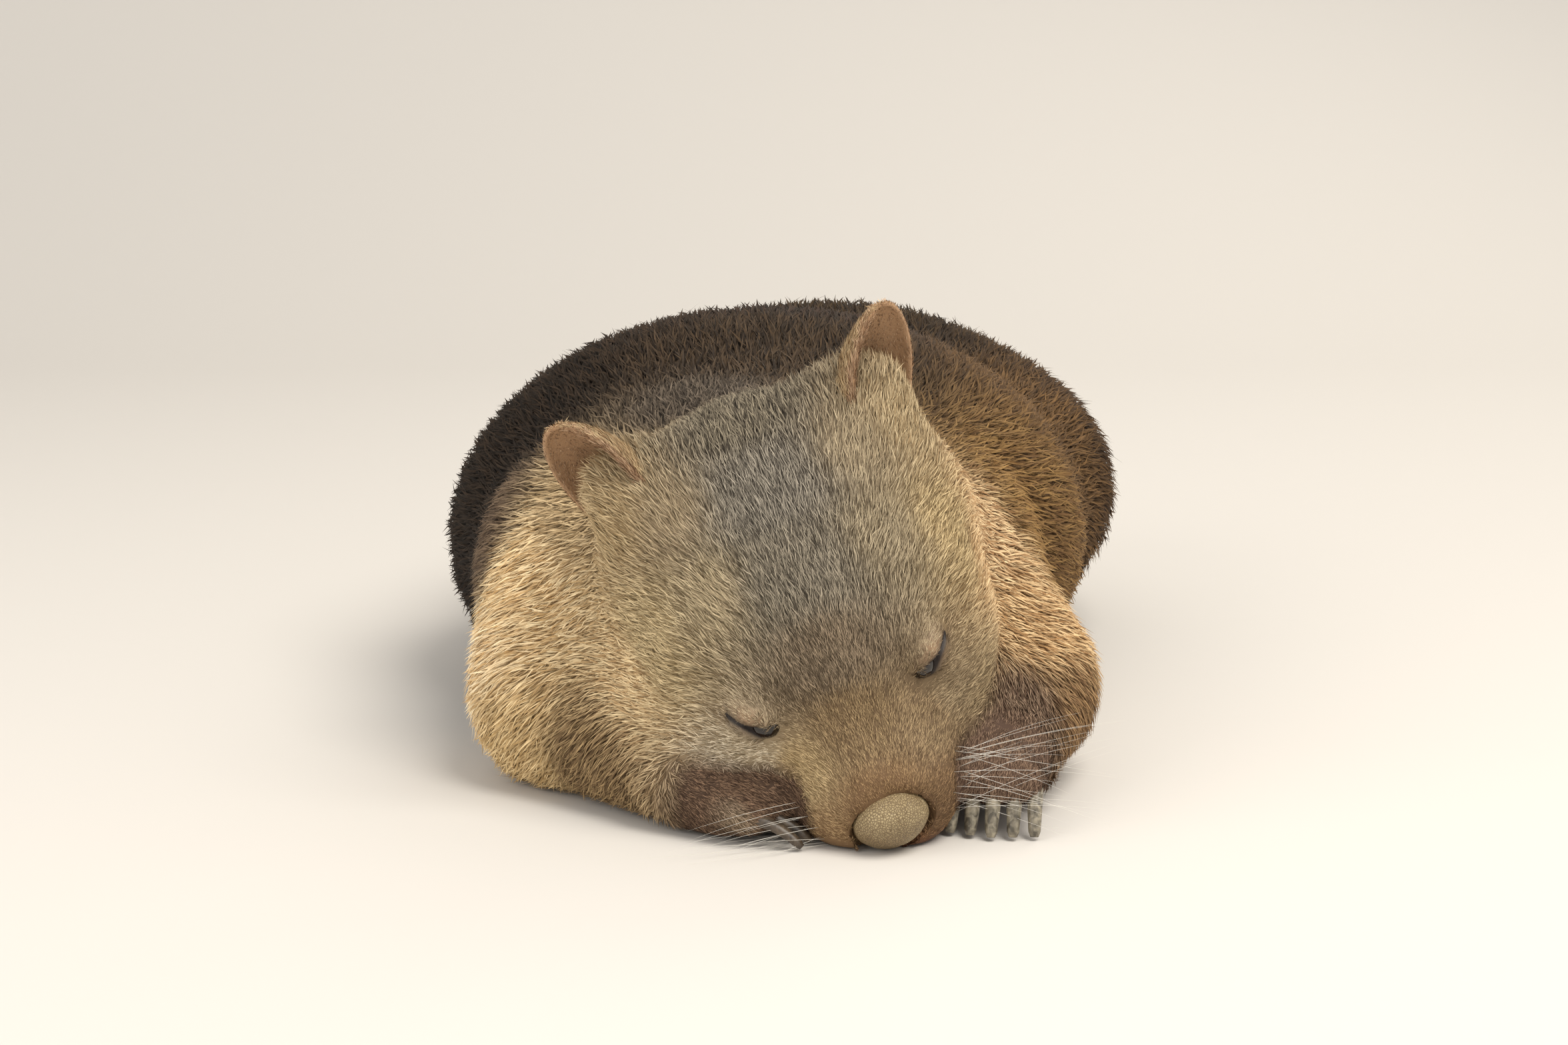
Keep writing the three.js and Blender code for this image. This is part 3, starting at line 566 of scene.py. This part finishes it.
def lidHair(piece, eye, label, material):
    # the finest hair on the lids, none along the slit and in the wet corner
    unwrap(piece)

    def wanted(points, facing):
        x, y, _ = inEye(toRow(points), eye)
        off = y - slitLine(x)
        slit = np.exp(-(off / 1.9) ** 2) / (1 + np.exp((np.abs(x - 1) - 13) / 1.0))
        corner = np.exp(-((x + 8) / 5.4) ** 2 - (off / 4.0) ** 2)
        bare = np.clip(slit * 1.6 + corner * 1.4, 0, 1)
        return 4.6 * np.clip(1 - bare * 1.25, 0, 1)

    root, normal, where = scatter(piece, wanted, 31)
    x, y, _ = inEye(root, eye)
    coat = coatAt(fromRow(root))
    # painted shade darkens the lid hair towards the slit, and a painted highlight pales it where the lid is
    # fullest
    shade = 0.8 * np.exp(-((y - slitLine(x)) / 4.6) ** 2) * (np.abs(x) < 15)
    mixTones(coat, "#76604a", "#dcc9a8", lidHighlight(x, y))
    mixTones(coat, "#2a1c14", "#5c4433", shade[:, None])
    edge = np.clip(np.hypot(x / 17, (y - 1) / 14) / 0.7, 0, 1)
    coat["length"] = 2.6 + 2.6 * edge ** 2
    coat["width"] = np.full(len(root), 0.27)
    coat["lift"] = np.full(len(root), 14.0)
    hair = tuftMesh("lid_coat_" + label, root, normal, where, coat, 61)
    hair.data.materials.append(material)
    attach(hair, "root")


def makeEyes(tree, eyes, hairMaterial):
    # a lid patch over each eye, bare and dark along the slit, and the moist ball that glints through it
    lidSkin = lidMaterial()
    wet = eyeMaterial()
    for side, label in ((-1, "right"), (1, "left")):
        place, along, up, out = eyes[side]
        work = bmesh.new()
        bmesh.ops.create_grid(work, x_segments=eyePlan["cells"], y_segments=eyePlan["cells"], size=1)
        flat = np.array([v.co[:] for v in work.verts])
        x = flat[:, 0] * eyePlan["patchWidth"]
        y = flat[:, 1] * eyePlan["patchHeight"] + 1
        rim = np.clip((np.hypot(flat[:, 0], flat[:, 1]) - 0.62) / 0.38, 0, 1)
        height = lidHeight(x, y) * (1 - rim) - 2.6 * rim ** 1.5
        base = place + (x[:, None] * along + y[:, None] * up) * mm
        for vert, spot, lift in zip(work.verts, base, height):
            hit, _, _, _ = tree.ray_cast(Vector(spot + out * 0.02), Vector(-out))
            ground = np.array(hit) if hit is not None else spot
            vert.co = ground + out * lift * mm
        outside = [v for v, f in zip(work.verts, flat) if np.hypot(f[0], f[1]) > 1.0]
        bmesh.ops.delete(work, geom=outside, context="VERTS")
        piece = finishPiece(work, "lids_" + label, lidSkin, "head_coat")
        _, normals = meshArrays(piece)
        if (normals @ out).mean() < 0:
            piece.data.flip_normals()
        shadeLids(piece, eyes[side])
        lidHair(piece, eyes[side], label, hairMaterial)
        ball = bmesh.new()
        bmesh.ops.create_uvsphere(ball, u_segments=48, v_segments=32, radius=eyePlan["ball"] * mm)
        shift = out * (eyePlan["proud"] - eyePlan["ball"]) - along * eyePlan["towardNose"]
        shift -= up * eyePlan["low"]
        ball.transform(Matrix.Translation(Vector(place + shift * mm)))
        finishPiece(ball, "eyeball_" + label, wet, "eye", "eye_" + label)


def shadeLids(piece, eye):
    # dark lid margin along the slit and dark wet skin in the inner corner, both deepened by painted shade in
    # the slit and the corner's hollow; a painted highlight where the lid is fullest
    verts, _ = meshArrays(piece)
    x, y, _ = inEye(verts, eye)
    off = y - slitLine(x)
    near = np.exp(-(off / 2.1) ** 2) / (1 + np.exp((np.abs(x - 1) - 13) / 1.0))
    corner = np.exp(-((x + 8) / 6.0) ** 2 - (off / 4.6) ** 2)
    # dark lid margin and wet corner, with painted shade in the slit and in the hollow of the inner corner
    dark = np.clip(1.25 * near + 1.25 * corner, 0, 1)[:, None]
    around = np.exp(-(x / 12) ** 2 - (y / 6.5) ** 2)[:, None] * 0.6
    coat = coatAt(fromRow(verts))
    tone = blend(coat["dark"] * 0.55 + coat["light"] * 0.35, srgb("#6a4f3d"), around)
    # a painted highlight where the lid is fullest
    tone = blend(tone, srgb("#96795c"), lidHighlight(x, y) * 0.75)
    paint(piece.data, blend(tone, srgb("#1d130e"), dark))


def grainedSkin(name, grain, relief, roughness, specular):
    # skin coloured at its points, with a fine grain in relief
    material, tree = newMaterial(name)
    colour = addNode(tree, "Attribute", {"attribute_name": "coatColour", "attribute_type": "GEOMETRY"})
    noise = addTexture(tree, "TexNoise", grain)
    bump = addNode(tree, "Bump", {"Strength": 0.5, "Distance": relief}, {"Height": noise.outputs["Fac"]})
    shader = addNode(tree, "BsdfPrincipled", {"Roughness": roughness, "Specular IOR Level": specular},
                     {"Base Color": colour.outputs["Color"], "Normal": bump.outputs["Normal"]})
    finishMaterial(tree, shader)
    return material


def lidMaterial():
    # thin bare eyelid skin, finely creased and a little greasy
    return grainedSkin("lidSkin", {"Scale": 1400.0, "Detail": 4.0}, 0.0003, 0.5, 0.35)


def skinMaterial():
    # the hide under the coat, with fine short hair as bump about 1.2 mm apart
    return grainedSkin("hide", {"Scale": 850.0, "Detail": 3.0}, 0.0006, 0.75, 0.25)


def eyeMaterial():
    # wet cornea over a very dark iris
    material, tree = newMaterial("wetEye")
    grain = addTexture(tree, "TexNoise", {"Scale": 300.0})
    tone = addRamp(tree, grain.outputs["Fac"], srgb("#0a0706"), srgb("#1c120d"))
    shader = addNode(tree, "BsdfPrincipled", {"Roughness": 0.08, "IOR": 1.38, "Coat Weight": 0.6},
                     {"Base Color": tone.outputs["Color"]})
    finishMaterial(tree, shader)
    return material


earPlan = {"span": 66, "back": 186, "height": 106, "length": 53, "width": 43, "wall": 2.2, "sink": 16}


def earTurn(side):
    return headTurn @ turn("Y", side * 14) @ turn("X", -29) @ turn("Z", side * 34)


def earRoot(side):
    return fromHead([(side * earPlan["span"], earPlan["back"], earPlan["height"])])


def crownShare(points, side):
    # 0 at the middle of the ear to 1 at the edge nearer the crown
    across = earTurn(side) @ np.array([-side, 0, 0.0])
    return np.clip(((points - earRoot(side)) @ across) / 14, 0, 1)


def makeEar(side, label, material):
    # a rounded leaf curled into a cup, thin at the rim, its root sunk in the skin
    work = bmesh.new()
    bmesh.ops.create_grid(work, x_segments=30, y_segments=40, size=1)
    grid = np.array([v.co[:] for v in work.verts])
    u = grid[:, 0]
    t = (grid[:, 1] + 1) / 2
    taper = np.sqrt(np.maximum(1 - (t * 0.985) ** 2.6, 0.01))
    width = earPlan["width"] / 2 * taper * (0.82 + 0.3 * np.sin(t * 2.4))
    height = earPlan["length"] * t - earPlan["sink"] * (1 - t) ** 2
    curl = 1.5 - 0.55 * t
    radius = width / np.sin(curl)
    x = np.sin(u * curl) * radius
    y = np.cos(u * curl) * radius - radius * np.cos(curl) - 5 * t ** 2
    # soft inner ridge and a rim that rolls outwards
    y += 1.2 * np.exp(-((u - 0.35 * side) / 0.16) ** 2) * np.sin(t * 3.1)
    y -= 1.6 * np.clip(np.abs(u) - 0.82, 0, 1) / 0.18 * np.sin(t * 3.1)
    points = toRow(earRoot(side) + np.column_stack([x, y, height]) @ earTurn(side).T)
    for vert, point in zip(work.verts, points):
        vert.co = point
    bmesh.ops.recalc_face_normals(work, faces=work.faces)
    bmesh.ops.solidify(work, geom=work.faces[:], thickness=earPlan["wall"] * mm)
    # the hair is drawn face by face, and solidify leaves its faces in another order each run
    steady = Vector((0.83, 0.47, 0.31))
    work.faces.sort(key=lambda face: face.calc_center_median().dot(steady))
    ear = finishPiece(work, "ear_skin_" + label, material, "ear_coat", "ear_" + label)
    unwrap(ear)
    _, normals = meshArrays(ear)
    inner = earInside(normals, side)
    paint(ear.data, np.where(inner[:, None], srgb("#a98767"), srgb("#93745a") * 0.8))
    return ear


def earInside(normals, side):
    # the cup's face looks forwards in the ear's own frame
    return (normals @ earTurn(side))[:, 1] < -0.1


def earCoat(ear, side, label, material):
    # short dense hair outside, fine sparse hair inside, a long pale fringe on the rim nearer the crown
    def wanted(points, facing):
        return np.where(earInside(facing, side), 0.8 + 1.6 * crownShare(points, side), 2.2)

    root, normal, place = scatter(ear, wanted, 77 + side)
    spots = fromRow(root)
    inner = earInside(normal, side)
    axis = earTurn(side) @ np.array([0, 0, 1.0])
    high = np.clip(((spots - earRoot(side)) @ axis) / earPlan["length"], 0, 1)
    fringe = 5.0 * crownShare(spots, side) * (1 - 0.6 * high)
    coat = {"lie": np.tile(axis, (len(root), 1)),
            "length": np.where(inner, 3.0, 7.5 - 3.5 * high) + fringe,
            "width": np.full(len(root), 0.34),
            "lift": np.where(inner, 22.0, 15.0),
            "dark": np.where(inner[:, None], srgb("#8a684e"), srgb("#8f6f4e")),
            "light": np.where(inner[:, None], srgb("#cdb091"), srgb("#dcc49b"))}
    piece = tuftMesh("ear_coat_" + label, root, normal, place, coat, 55 + side)
    piece.data.materials.append(material)
    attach(piece, "root")


def clawLines(paw):
    # the root and tip of each claw, side by side across the paw's heading
    ahead = np.array([*paw["heading"], 0.0])
    ahead /= np.linalg.norm(ahead)
    across = np.array([-ahead[1], ahead[0], 0])
    palm = np.array(paw["palm"], float)
    for toe in range(paw["toes"]):
        place = toe - (paw["toes"] - 1) / 2
        fan = ahead + across * place * toeFan
        fan /= np.linalg.norm(fan)
        knuckle = palm + across * place * toeSpacing + fan * 8
        end = knuckle + fan * (15 - abs(place) * 2.2)
        end[2] = max(palm[2] - 6, 9)
        tip = end + fan * math.sqrt(max(paw["claw"] ** 2 - paw["drop"] ** 2, 16))
        tip[2] = max(end[2] - paw["drop"], paw["width"] * 0.24)
        yield end, tip


def makeClaws(ownHorn, shadeHorn):
    # blunt digging claws: arched above, flat below, worn at the tip
    for name, paw in pawPlan.items():
        # fore_left's claws show the horn's own colour; the other paws' claws take a darker horn, painted
        # shade for claws lying in shadow
        material = ownHorn if name == "fore_left" else shadeHorn
        for number, (root, tip) in enumerate(clawLines(paw)):
            way = tip - root
            side = np.cross(way, [0, 0, 1.0])
            side /= np.linalg.norm(side)
            root = root - way * 0.12
            middle = (root + tip) / 2 + np.array([0, 0, np.linalg.norm(way) * 0.22])
            work = bmesh.new()
            bmesh.ops.create_cone(work, cap_ends=True, segments=18, radius1=1, radius2=1, depth=1)
            rings = 12
            long = [e for e in work.edges if abs(e.verts[0].co.z - e.verts[1].co.z) > 0.5]
            bmesh.ops.subdivide_edges(work, edges=long, cuts=rings)
            for vert in work.verts:
                t = vert.co.z + 0.5
                angle = math.atan2(vert.co.y, vert.co.x)
                spot = (1 - t) ** 2 * root + 2 * t * (1 - t) * middle + t ** 2 * tip
                tangent = 2 * (1 - t) * (middle - root) + 2 * t * (tip - middle)
                tangent /= np.linalg.norm(tangent)
                up = np.cross(side, tangent)
                half = paw["width"] / 2 * 0.96 * (1 - 0.3 * t * t) * (1 if t < 0.97 else 0.7)
                ridge = 1 + 0.03 * math.cos(angle * 6)
                tall = 0.85 if math.sin(angle) > 0 else 0.6
                aside = side * math.cos(angle) * half * ridge
                above = up * math.sin(angle) * half * tall * ridge
                vert.co = toRow(spot + aside + above)
                vert.co.z = max(vert.co.z, tipFloor)
            finishPiece(work, f"horn_{name}_{number + 1}", material, "claw_horn", f"claw_{name}_{number + 1}")


def clawMaterial(name, low, high):
    # dull keratin with soft streaks of a paler tone
    material, tree = newMaterial(name)
    streak = addTexture(tree, "TexNoise", {"Scale": 260.0, "Detail": 5.0, "Distortion": 0.6})
    tone = addRamp(tree, streak.outputs["Fac"], srgb(low), srgb(high), 0.35, 0.68)
    bump = addNode(tree, "Bump", {"Strength": 0.35, "Distance": 0.0004}, {"Height": streak.outputs["Fac"]})
    shader = addNode(tree, "BsdfPrincipled", {"Roughness": 0.42, "IOR": 1.54},
                     {"Base Color": tone.outputs["Color"], "Normal": bump.outputs["Normal"]})
    finishMaterial(tree, shader)
    return material


def makeWhiskers(tree):
    # long white whiskers from both lip pads, bent back by their own weight
    plan = {"perSide": 34, "thick": 0.26, "shortest": 30, "longest": 84, "steps": 9,
            "corners": (0, 2.09, 4.19)}
    local = np.random.default_rng(8)
    work = bmesh.new()
    for side in (-1, 1):
        for _ in range(plan["perSide"]):
            start = (side * local.uniform(24, 34), local.uniform(18, 46), local.uniform(22, 46))
            hit, normal, _, _ = tree.find_nearest(Vector(toRow(fromHead([start]))[0]))
            root = fromRow([np.array(hit)])[0]
            if side < 0:
                way = np.array([-0.9, local.uniform(-0.75, -0.4), local.uniform(0.05, 0.5)])
            else:
                way = np.array([0.8, local.uniform(-0.4, 0.0), local.uniform(-0.35, 0.9)])
            way = way / np.linalg.norm(way) + np.array(normal) * 0.35
            way /= np.linalg.norm(way)
            length = local.uniform(plan["shortest"], plan["longest"])
            bend = local.uniform(0.1, 0.4)
            point = root.copy()
            ring = []
            across = np.cross(way, [0, 0, 1.0])
            across /= np.linalg.norm(across)
            for step in range(plan["steps"] + 1):
                t = step / plan["steps"]
                thick = plan["thick"] / 2 * (1 - 0.85 * t)
                lifted = np.cross(across, way)
                now = []
                for angle in plan["corners"]:
                    corner = point + (across * math.cos(angle) + lifted * math.sin(angle)) * thick
                    now.append(work.verts.new(toRow([corner])[0]))
                if ring:
                    for i in range(3):
                        work.faces.new((ring[i], ring[(i + 1) % 3], now[(i + 1) % 3], now[i]))
                else:
                    work.faces.new(now[::-1])
                ring = now
                way = way + np.array([0, 0.02, -bend / plan["steps"]])
                way /= np.linalg.norm(way)
                point = point + way * length / plan["steps"]
                point[2] = max(point[2], 1.0 + 2 * t)
            work.faces.new(ring)
    material, shaderTree = newMaterial("whisker")
    shader = addNode(shaderTree, "BsdfPrincipled", {"Base Color": (0.82, 0.79, 0.72, 1), "Roughness": 0.35})
    finishMaterial(shaderTree, shader)
    piece = finishPiece(work, "whiskers", material, "head_coat")
    unwrap(piece)


def unwrap(obj):
    # an unwrap of the piece's own shape, which the tufts' baking patches use
    bpy.ops.object.select_all(action="DESELECT")
    bpy.context.view_layer.objects.active = obj
    obj.select_set(True)
    bpy.ops.object.mode_set(mode="EDIT")
    bpy.ops.mesh.select_all(action="SELECT")
    bpy.ops.uv.smart_project(angle_limit=math.radians(66), island_margin=0.002)
    bpy.ops.object.mode_set(mode="OBJECT")
    obj.data.uv_layers.active.name = "OFBake"


def colourSkin(skin):
    verts, _ = meshArrays(skin)
    coat = coatAt(fromRow(verts))
    paint(skin.data, coat["dark"] * 0.75 + coat["light"] * 0.15)


def triangles(obj):
    mesh = obj.data
    mesh.calc_loop_triangles()
    count = len(mesh.loop_triangles)
    corners = np.empty(count * 3, int)
    mesh.loop_triangles.foreach_get("vertices", corners)
    loops = np.empty(count * 3, int)
    mesh.loop_triangles.foreach_get("loops", loops)
    uv = np.empty(len(mesh.loops) * 2)
    mesh.uv_layers["OFBake"].data.foreach_get("uv", uv)
    return corners.reshape(-1, 3), loops.reshape(-1, 3), uv.reshape(-1, 2)


def scatter(obj, density, seed):
    # roots spread over a surface by a density in tufts per square mm, as a function of the place
    local = np.random.default_rng(seed)
    verts, normals = meshArrays(obj)
    corners, loops, uv = triangles(obj)
    a, b, c = (verts[corners[:, i]] for i in range(3))
    area = np.linalg.norm(np.cross(b - a, c - a), axis=1) / 2 / mm ** 2
    middle = fromRow((a + b + c) / 3)
    facing = np.cross(b - a, c - a)
    facing /= np.linalg.norm(facing, axis=1, keepdims=True) + 1e-12
    wanted = area * density(middle, facing)
    count = local.poisson(wanted)
    pick = np.repeat(np.arange(len(corners)), count)
    r1 = np.sqrt(local.random(len(pick)))
    r2 = local.random(len(pick))
    share = np.column_stack([1 - r1, r1 * (1 - r2), r1 * r2])
    root = (verts[corners[pick]] * share[:, :, None]).sum(1)
    normal = (normals[corners[pick]] * share[:, :, None]).sum(1)
    normal /= np.linalg.norm(normal, axis=1, keepdims=True)
    place = (uv[loops[pick]] * share[:, :, None]).sum(1)
    return root, normal, place


# How far tufts stray from the lie, turn about their length and follow a swirl, how deep they root in
# metres, and half the side of a tuft's patch in the unwrap
tuftPlan = {"stray": 0.16, "twist": 0.35, "swirl": 0.22, "rooting": 0.0004, "patch": 0.0015}


def tuftMesh(name, root, normal, uvPlace, coat, seed):
    # flat tapered tufts of three faces, along the lie of the coat, as one joined mesh
    local = np.random.default_rng(seed)
    count = len(root)
    points = fromRow(root)
    lie = coat["lie"].copy()
    lie += local.normal(size=lie.shape) * tuftPlan["stray"]
    lie += np.cross(normal, lie) * (smoothNoise(points, 22, 5)[:, None] * tuftPlan["swirl"])
    lie -= normal * (lie * normal).sum(1, keepdims=True)
    lie /= np.linalg.norm(lie, axis=1, keepdims=True) + 1e-9
    across = np.cross(lie, normal)
    twist = local.normal(size=(count, 1)) * tuftPlan["twist"]
    flat = across * np.cos(twist) + normal * np.sin(twist)
    length = coat["length"] * local.uniform(0.62, 1.15, count) * mm
    width = coat["width"] * local.uniform(0.7, 1.3, count) * mm
    lift = np.radians(coat["lift"] * local.uniform(0.5, 1.5, count) + 6 * smoothNoise(points, 9, 9))
    stem = lie * np.cos(lift)[:, None] + normal * np.sin(lift)[:, None]
    tipWay = lie * np.cos(lift * 0.35)[:, None] + normal * np.sin(lift * 0.35)[:, None]
    base = root - normal * tuftPlan["rooting"]
    middle = base + stem * (length * 0.5)[:, None]
    tip = middle + tipWay * (length * 0.5)[:, None]
    tip += flat * (local.normal(size=(count, 1)) * length[:, None] * 0.08)
    half = flat * (width / 2)[:, None]
    verts = np.stack([base - half * 0.8, base + half * 0.8, middle + half, middle - half, tip], axis=1)
    verts[:, :, 2] = np.maximum(verts[:, :, 2], tipFloor)
    faces = np.array([[0, 1, 2], [0, 2, 3], [3, 2, 4]])
    index = (np.arange(count)[:, None, None] * 5 + faces[None]).reshape(-1)
    mesh = bpy.data.meshes.new(name)
    mesh.vertices.add(count * 5)
    mesh.vertices.foreach_set("co", verts.ravel())
    mesh.loops.add(len(index))
    mesh.loops.foreach_set("vertex_index", index.astype(np.int32))
    mesh.polygons.add(count * 3)
    mesh.polygons.foreach_set("loop_start", np.arange(0, count * 9, 3, dtype=np.int32))
    mesh.update()
    # colours: dark at the root, then banded, with light and dark hairs mixed
    pale = local.random(count) < 0.5 + 0.22 * smoothNoise(points, 11, 3) + 0.12 * smoothNoise(points, 40, 4)
    mix = np.where(pale, local.beta(5, 1.3, count), local.beta(1.3, 4, count))[:, None]
    bright = local.uniform(0.86, 1.14, count)[:, None]
    hair = (coat["dark"] * (1 - mix) + coat["light"] * mix) * bright
    rootTone = coat["dark"] * 0.55
    tipTone = hair * 1.08
    tones = np.stack([rootTone, rootTone, hair, hair, tipTone], axis=1)
    paint(mesh, tones.reshape(-1, 3))
    patch = np.array([[-1, -1], [1, -1], [1, 0], [-1, 0], [0, 1]]) * tuftPlan["patch"]
    uv = np.clip(uvPlace[:, None, :] + patch[None], 0, 1).reshape(-1, 2)
    uvLayer = mesh.uv_layers.new(name="OFBake")
    uvLayer.data.foreach_set("uv", uv[index].ravel())
    return newObject(name, mesh)


def coatMaterial():
    # coarse guard hair: a dull keratin surface with a faint sheen, so colour carries the look
    material, tree = newMaterial("guardHair")
    colour = addNode(tree, "Attribute", {"attribute_name": "coatColour", "attribute_type": "GEOMETRY"})
    shader = addNode(tree, "BsdfPrincipled", {"Roughness": 0.7, "Specular IOR Level": 0.16, "IOR": 1.55},
                     {"Base Color": colour.outputs["Color"]})
    finishMaterial(tree, shader)
    return material


def surfaceTree(obj):
    work = bmesh.new()
    work.from_mesh(obj.data)
    tree = BVHTree.FromBMesh(work)
    work.free()
    return tree


# How far off the lid's plane the skin still counts as the eye's, in mm
eyeReach = 14


def eyeBareness(points, eyes):
    # how bare the skin is about the slits, and how short the hair on the lids
    bare = np.zeros(len(points))
    short = np.zeros(len(points))
    for eye in eyes.values():
        x, y, z = inEye(toRow(points), eye)
        near = np.abs(z) < eyeReach
        off = y - slitLine(x)
        slit = np.exp(-(off / 2.6) ** 4) / (1 + np.exp((np.abs(x + 0.5) - 12) / 0.8))
        corner = np.exp(-((x + 10) / 7.0) ** 4 - (off / 6.0) ** 4)
        bare = np.maximum(bare, near * np.clip(slit + corner, 0, 1))
        short = np.maximum(short, near * np.exp(-((x + 3) / 18) ** 2 - ((y + 0.5) / 11) ** 2))
    return bare, short


def eyeRing(points, eyes):
    # brown hair about the inner corner and under the slit
    total = np.zeros(len(points))
    for eye in eyes.values():
        x, y, z = inEye(toRow(points), eye)
        ring = 0.85 * np.exp(-((x + 9) / 8) ** 2 - ((y + 1.5) / 7.5) ** 2)
        under = 0.7 * np.exp(-((x - 2) / 14) ** 2 - ((y + 4.5) / 3.6) ** 2)
        total = np.maximum(total, (np.abs(z) < eyeReach) * np.clip(ring + under, 0, 1))
    return total


coatPlan = {"density": 4.18, "face": (0, 70, 60), "faceReach": 130, "perPiece": 65000}


def makeCoat(skin, material, eyes):
    # tufts over the skin, denser on the face, none underneath, on the pad or along the slits
    def wanted(points, facing):
        coat = coatAt(points)
        perArea = coatPlan["density"] / (coat["width"] * coat["length"]) ** 0.95
        face = gone(points, fromHead([coatPlan["face"]])[0], coatPlan["faceReach"])
        hidden = (points[:, 2] < 5) & (facing[:, 2] < -0.5)
        bare, short = eyeBareness(points, eyes)
        away = (toHead(points) - padPlan["place"]) @ turn("X", padPlan["tilt"])
        pad = np.linalg.norm(away / padPlan["radii"], axis=1) < 1
        return np.where(hidden | pad, 0, perArea * (1 + 0.45 * face) * (1 - bare) * (1 + 0.4 * short))

    root, normal, place = scatter(skin, wanted, 41)
    print("tufts", len(root))
    order = np.argsort(root[:, 1], kind="stable")
    pieces = []
    for number, start in enumerate(range(0, len(order), coatPlan["perPiece"])):
        pick = order[start:start + coatPlan["perPiece"]]
        spots = fromRow(root[pick])
        coat = coatAt(spots)
        _, short = eyeBareness(spots, eyes)
        coat["length"] *= 1 - 0.7 * short
        coat["width"] *= 1 - 0.3 * short
        mixTones(coat, "#33231a", "#7a5f48", eyeRing(spots, eyes)[:, None])
        piece = tuftMesh(f"coat_{number + 1}", root[pick], normal[pick], place[pick], coat, 100 + number)
        piece.data.materials.append(material)
        pieces.append(piece)
    return pieces


def makeFloor():
    # a plain sheet that sweeps up behind the animal
    bend = {"front": -6.0, "back": 1.3, "radius": 1.6, "top": 4.5, "half": 8.0, "steps": 24}
    profile = [(bend["front"], 0.0), (bend["back"], 0.0)]
    for step in range(1, bend["steps"] + 1):
        angle = math.radians(90) * step / bend["steps"]
        back = bend["back"] + bend["radius"] * math.sin(angle)
        profile.append((back, bend["radius"] * (1 - math.cos(angle))))
    profile.append((bend["back"] + bend["radius"], bend["top"]))
    work = bmesh.new()
    rows = [[work.verts.new((x, y, z)) for x in (-bend["half"], bend["half"])] for y, z in profile]
    for low, high in zip(rows, rows[1:]):
        work.faces.new((low[0], low[1], high[1], high[0]))
    mesh = bpy.data.meshes.new("floor")
    work.to_mesh(mesh)
    work.free()
    shadeSmooth(mesh)
    floor = newObject("floor", mesh)
    material, tree = newMaterial("paleFloor")
    shader = addNode(tree, "BsdfPrincipled", {"Base Color": (0.72, 0.69, 0.65, 1), "Roughness": 0.85})
    finishMaterial(tree, shader)
    floor.data.materials.append(material)


def addLight(name, place, aim, size, power, colour):
    light = bpy.data.lights.new(name, "AREA")
    light.shape = "DISK"
    light.size = size
    light.energy = power
    light.color = colour
    obj = newObject(name, light)
    obj.location = place
    obj.rotation_euler = (Vector(aim) - Vector(place)).to_track_quat("-Z", "Y").to_euler()


def makeLights():
    addLight("key", (0.9, -1.2, 2.1), (0, -0.1, 0.1), 1.6, 52, (1.0, 0.95, 0.87))
    addLight("fill", (-2.0, -1.6, 1.1), (0, -0.1, 0.1), 2.2, 24, (1.0, 0.96, 0.9))
    addLight("rim", (0.9, 1.6, 1.5), (0, 0, 0.1), 1.4, 9, (1.0, 0.93, 0.82))
    world = bpy.data.worlds.new("studio")
    world.use_nodes = True
    world.node_tree.nodes["Background"].inputs[0].default_value = (0.92, 0.9, 0.87, 1)
    world.node_tree.nodes["Background"].inputs[1].default_value = 0.7
    bpy.context.scene.world = world
    bpy.context.scene.view_settings.view_transform = "Standard"


makeCamera()
makeFloor()
makeLights()
skin = makeSkin()
unwrap(skin)
colourSkin(skin)
skin.data.materials.append(skinMaterial())
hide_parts(*fleshNodes)
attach(skin, "root")
guardHair = coatMaterial()
hideTree = surfaceTree(skin)
eyes = {side: eyeFrame(hideTree, side) for side in (-1, 1)}
for piece in makeCoat(skin, guardHair, eyes):
    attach(piece, "root")
print("coat done")
makeNosePad()
makeEyes(hideTree, eyes, guardHair)
# the second, darker horn is painted shade for the claws in shadow
makeClaws(clawMaterial("clawHorn", "#4d473c", "#a39a86"), clawMaterial("shadowedHorn", "#2e251d", "#5c4f40"))
makeWhiskers(hideTree)
for side, label in ((-1, "right"), (1, "left")):
    ear = makeEar(side, label, skinMaterial())
    earCoat(ear, side, label, guardHair)
print("head done")
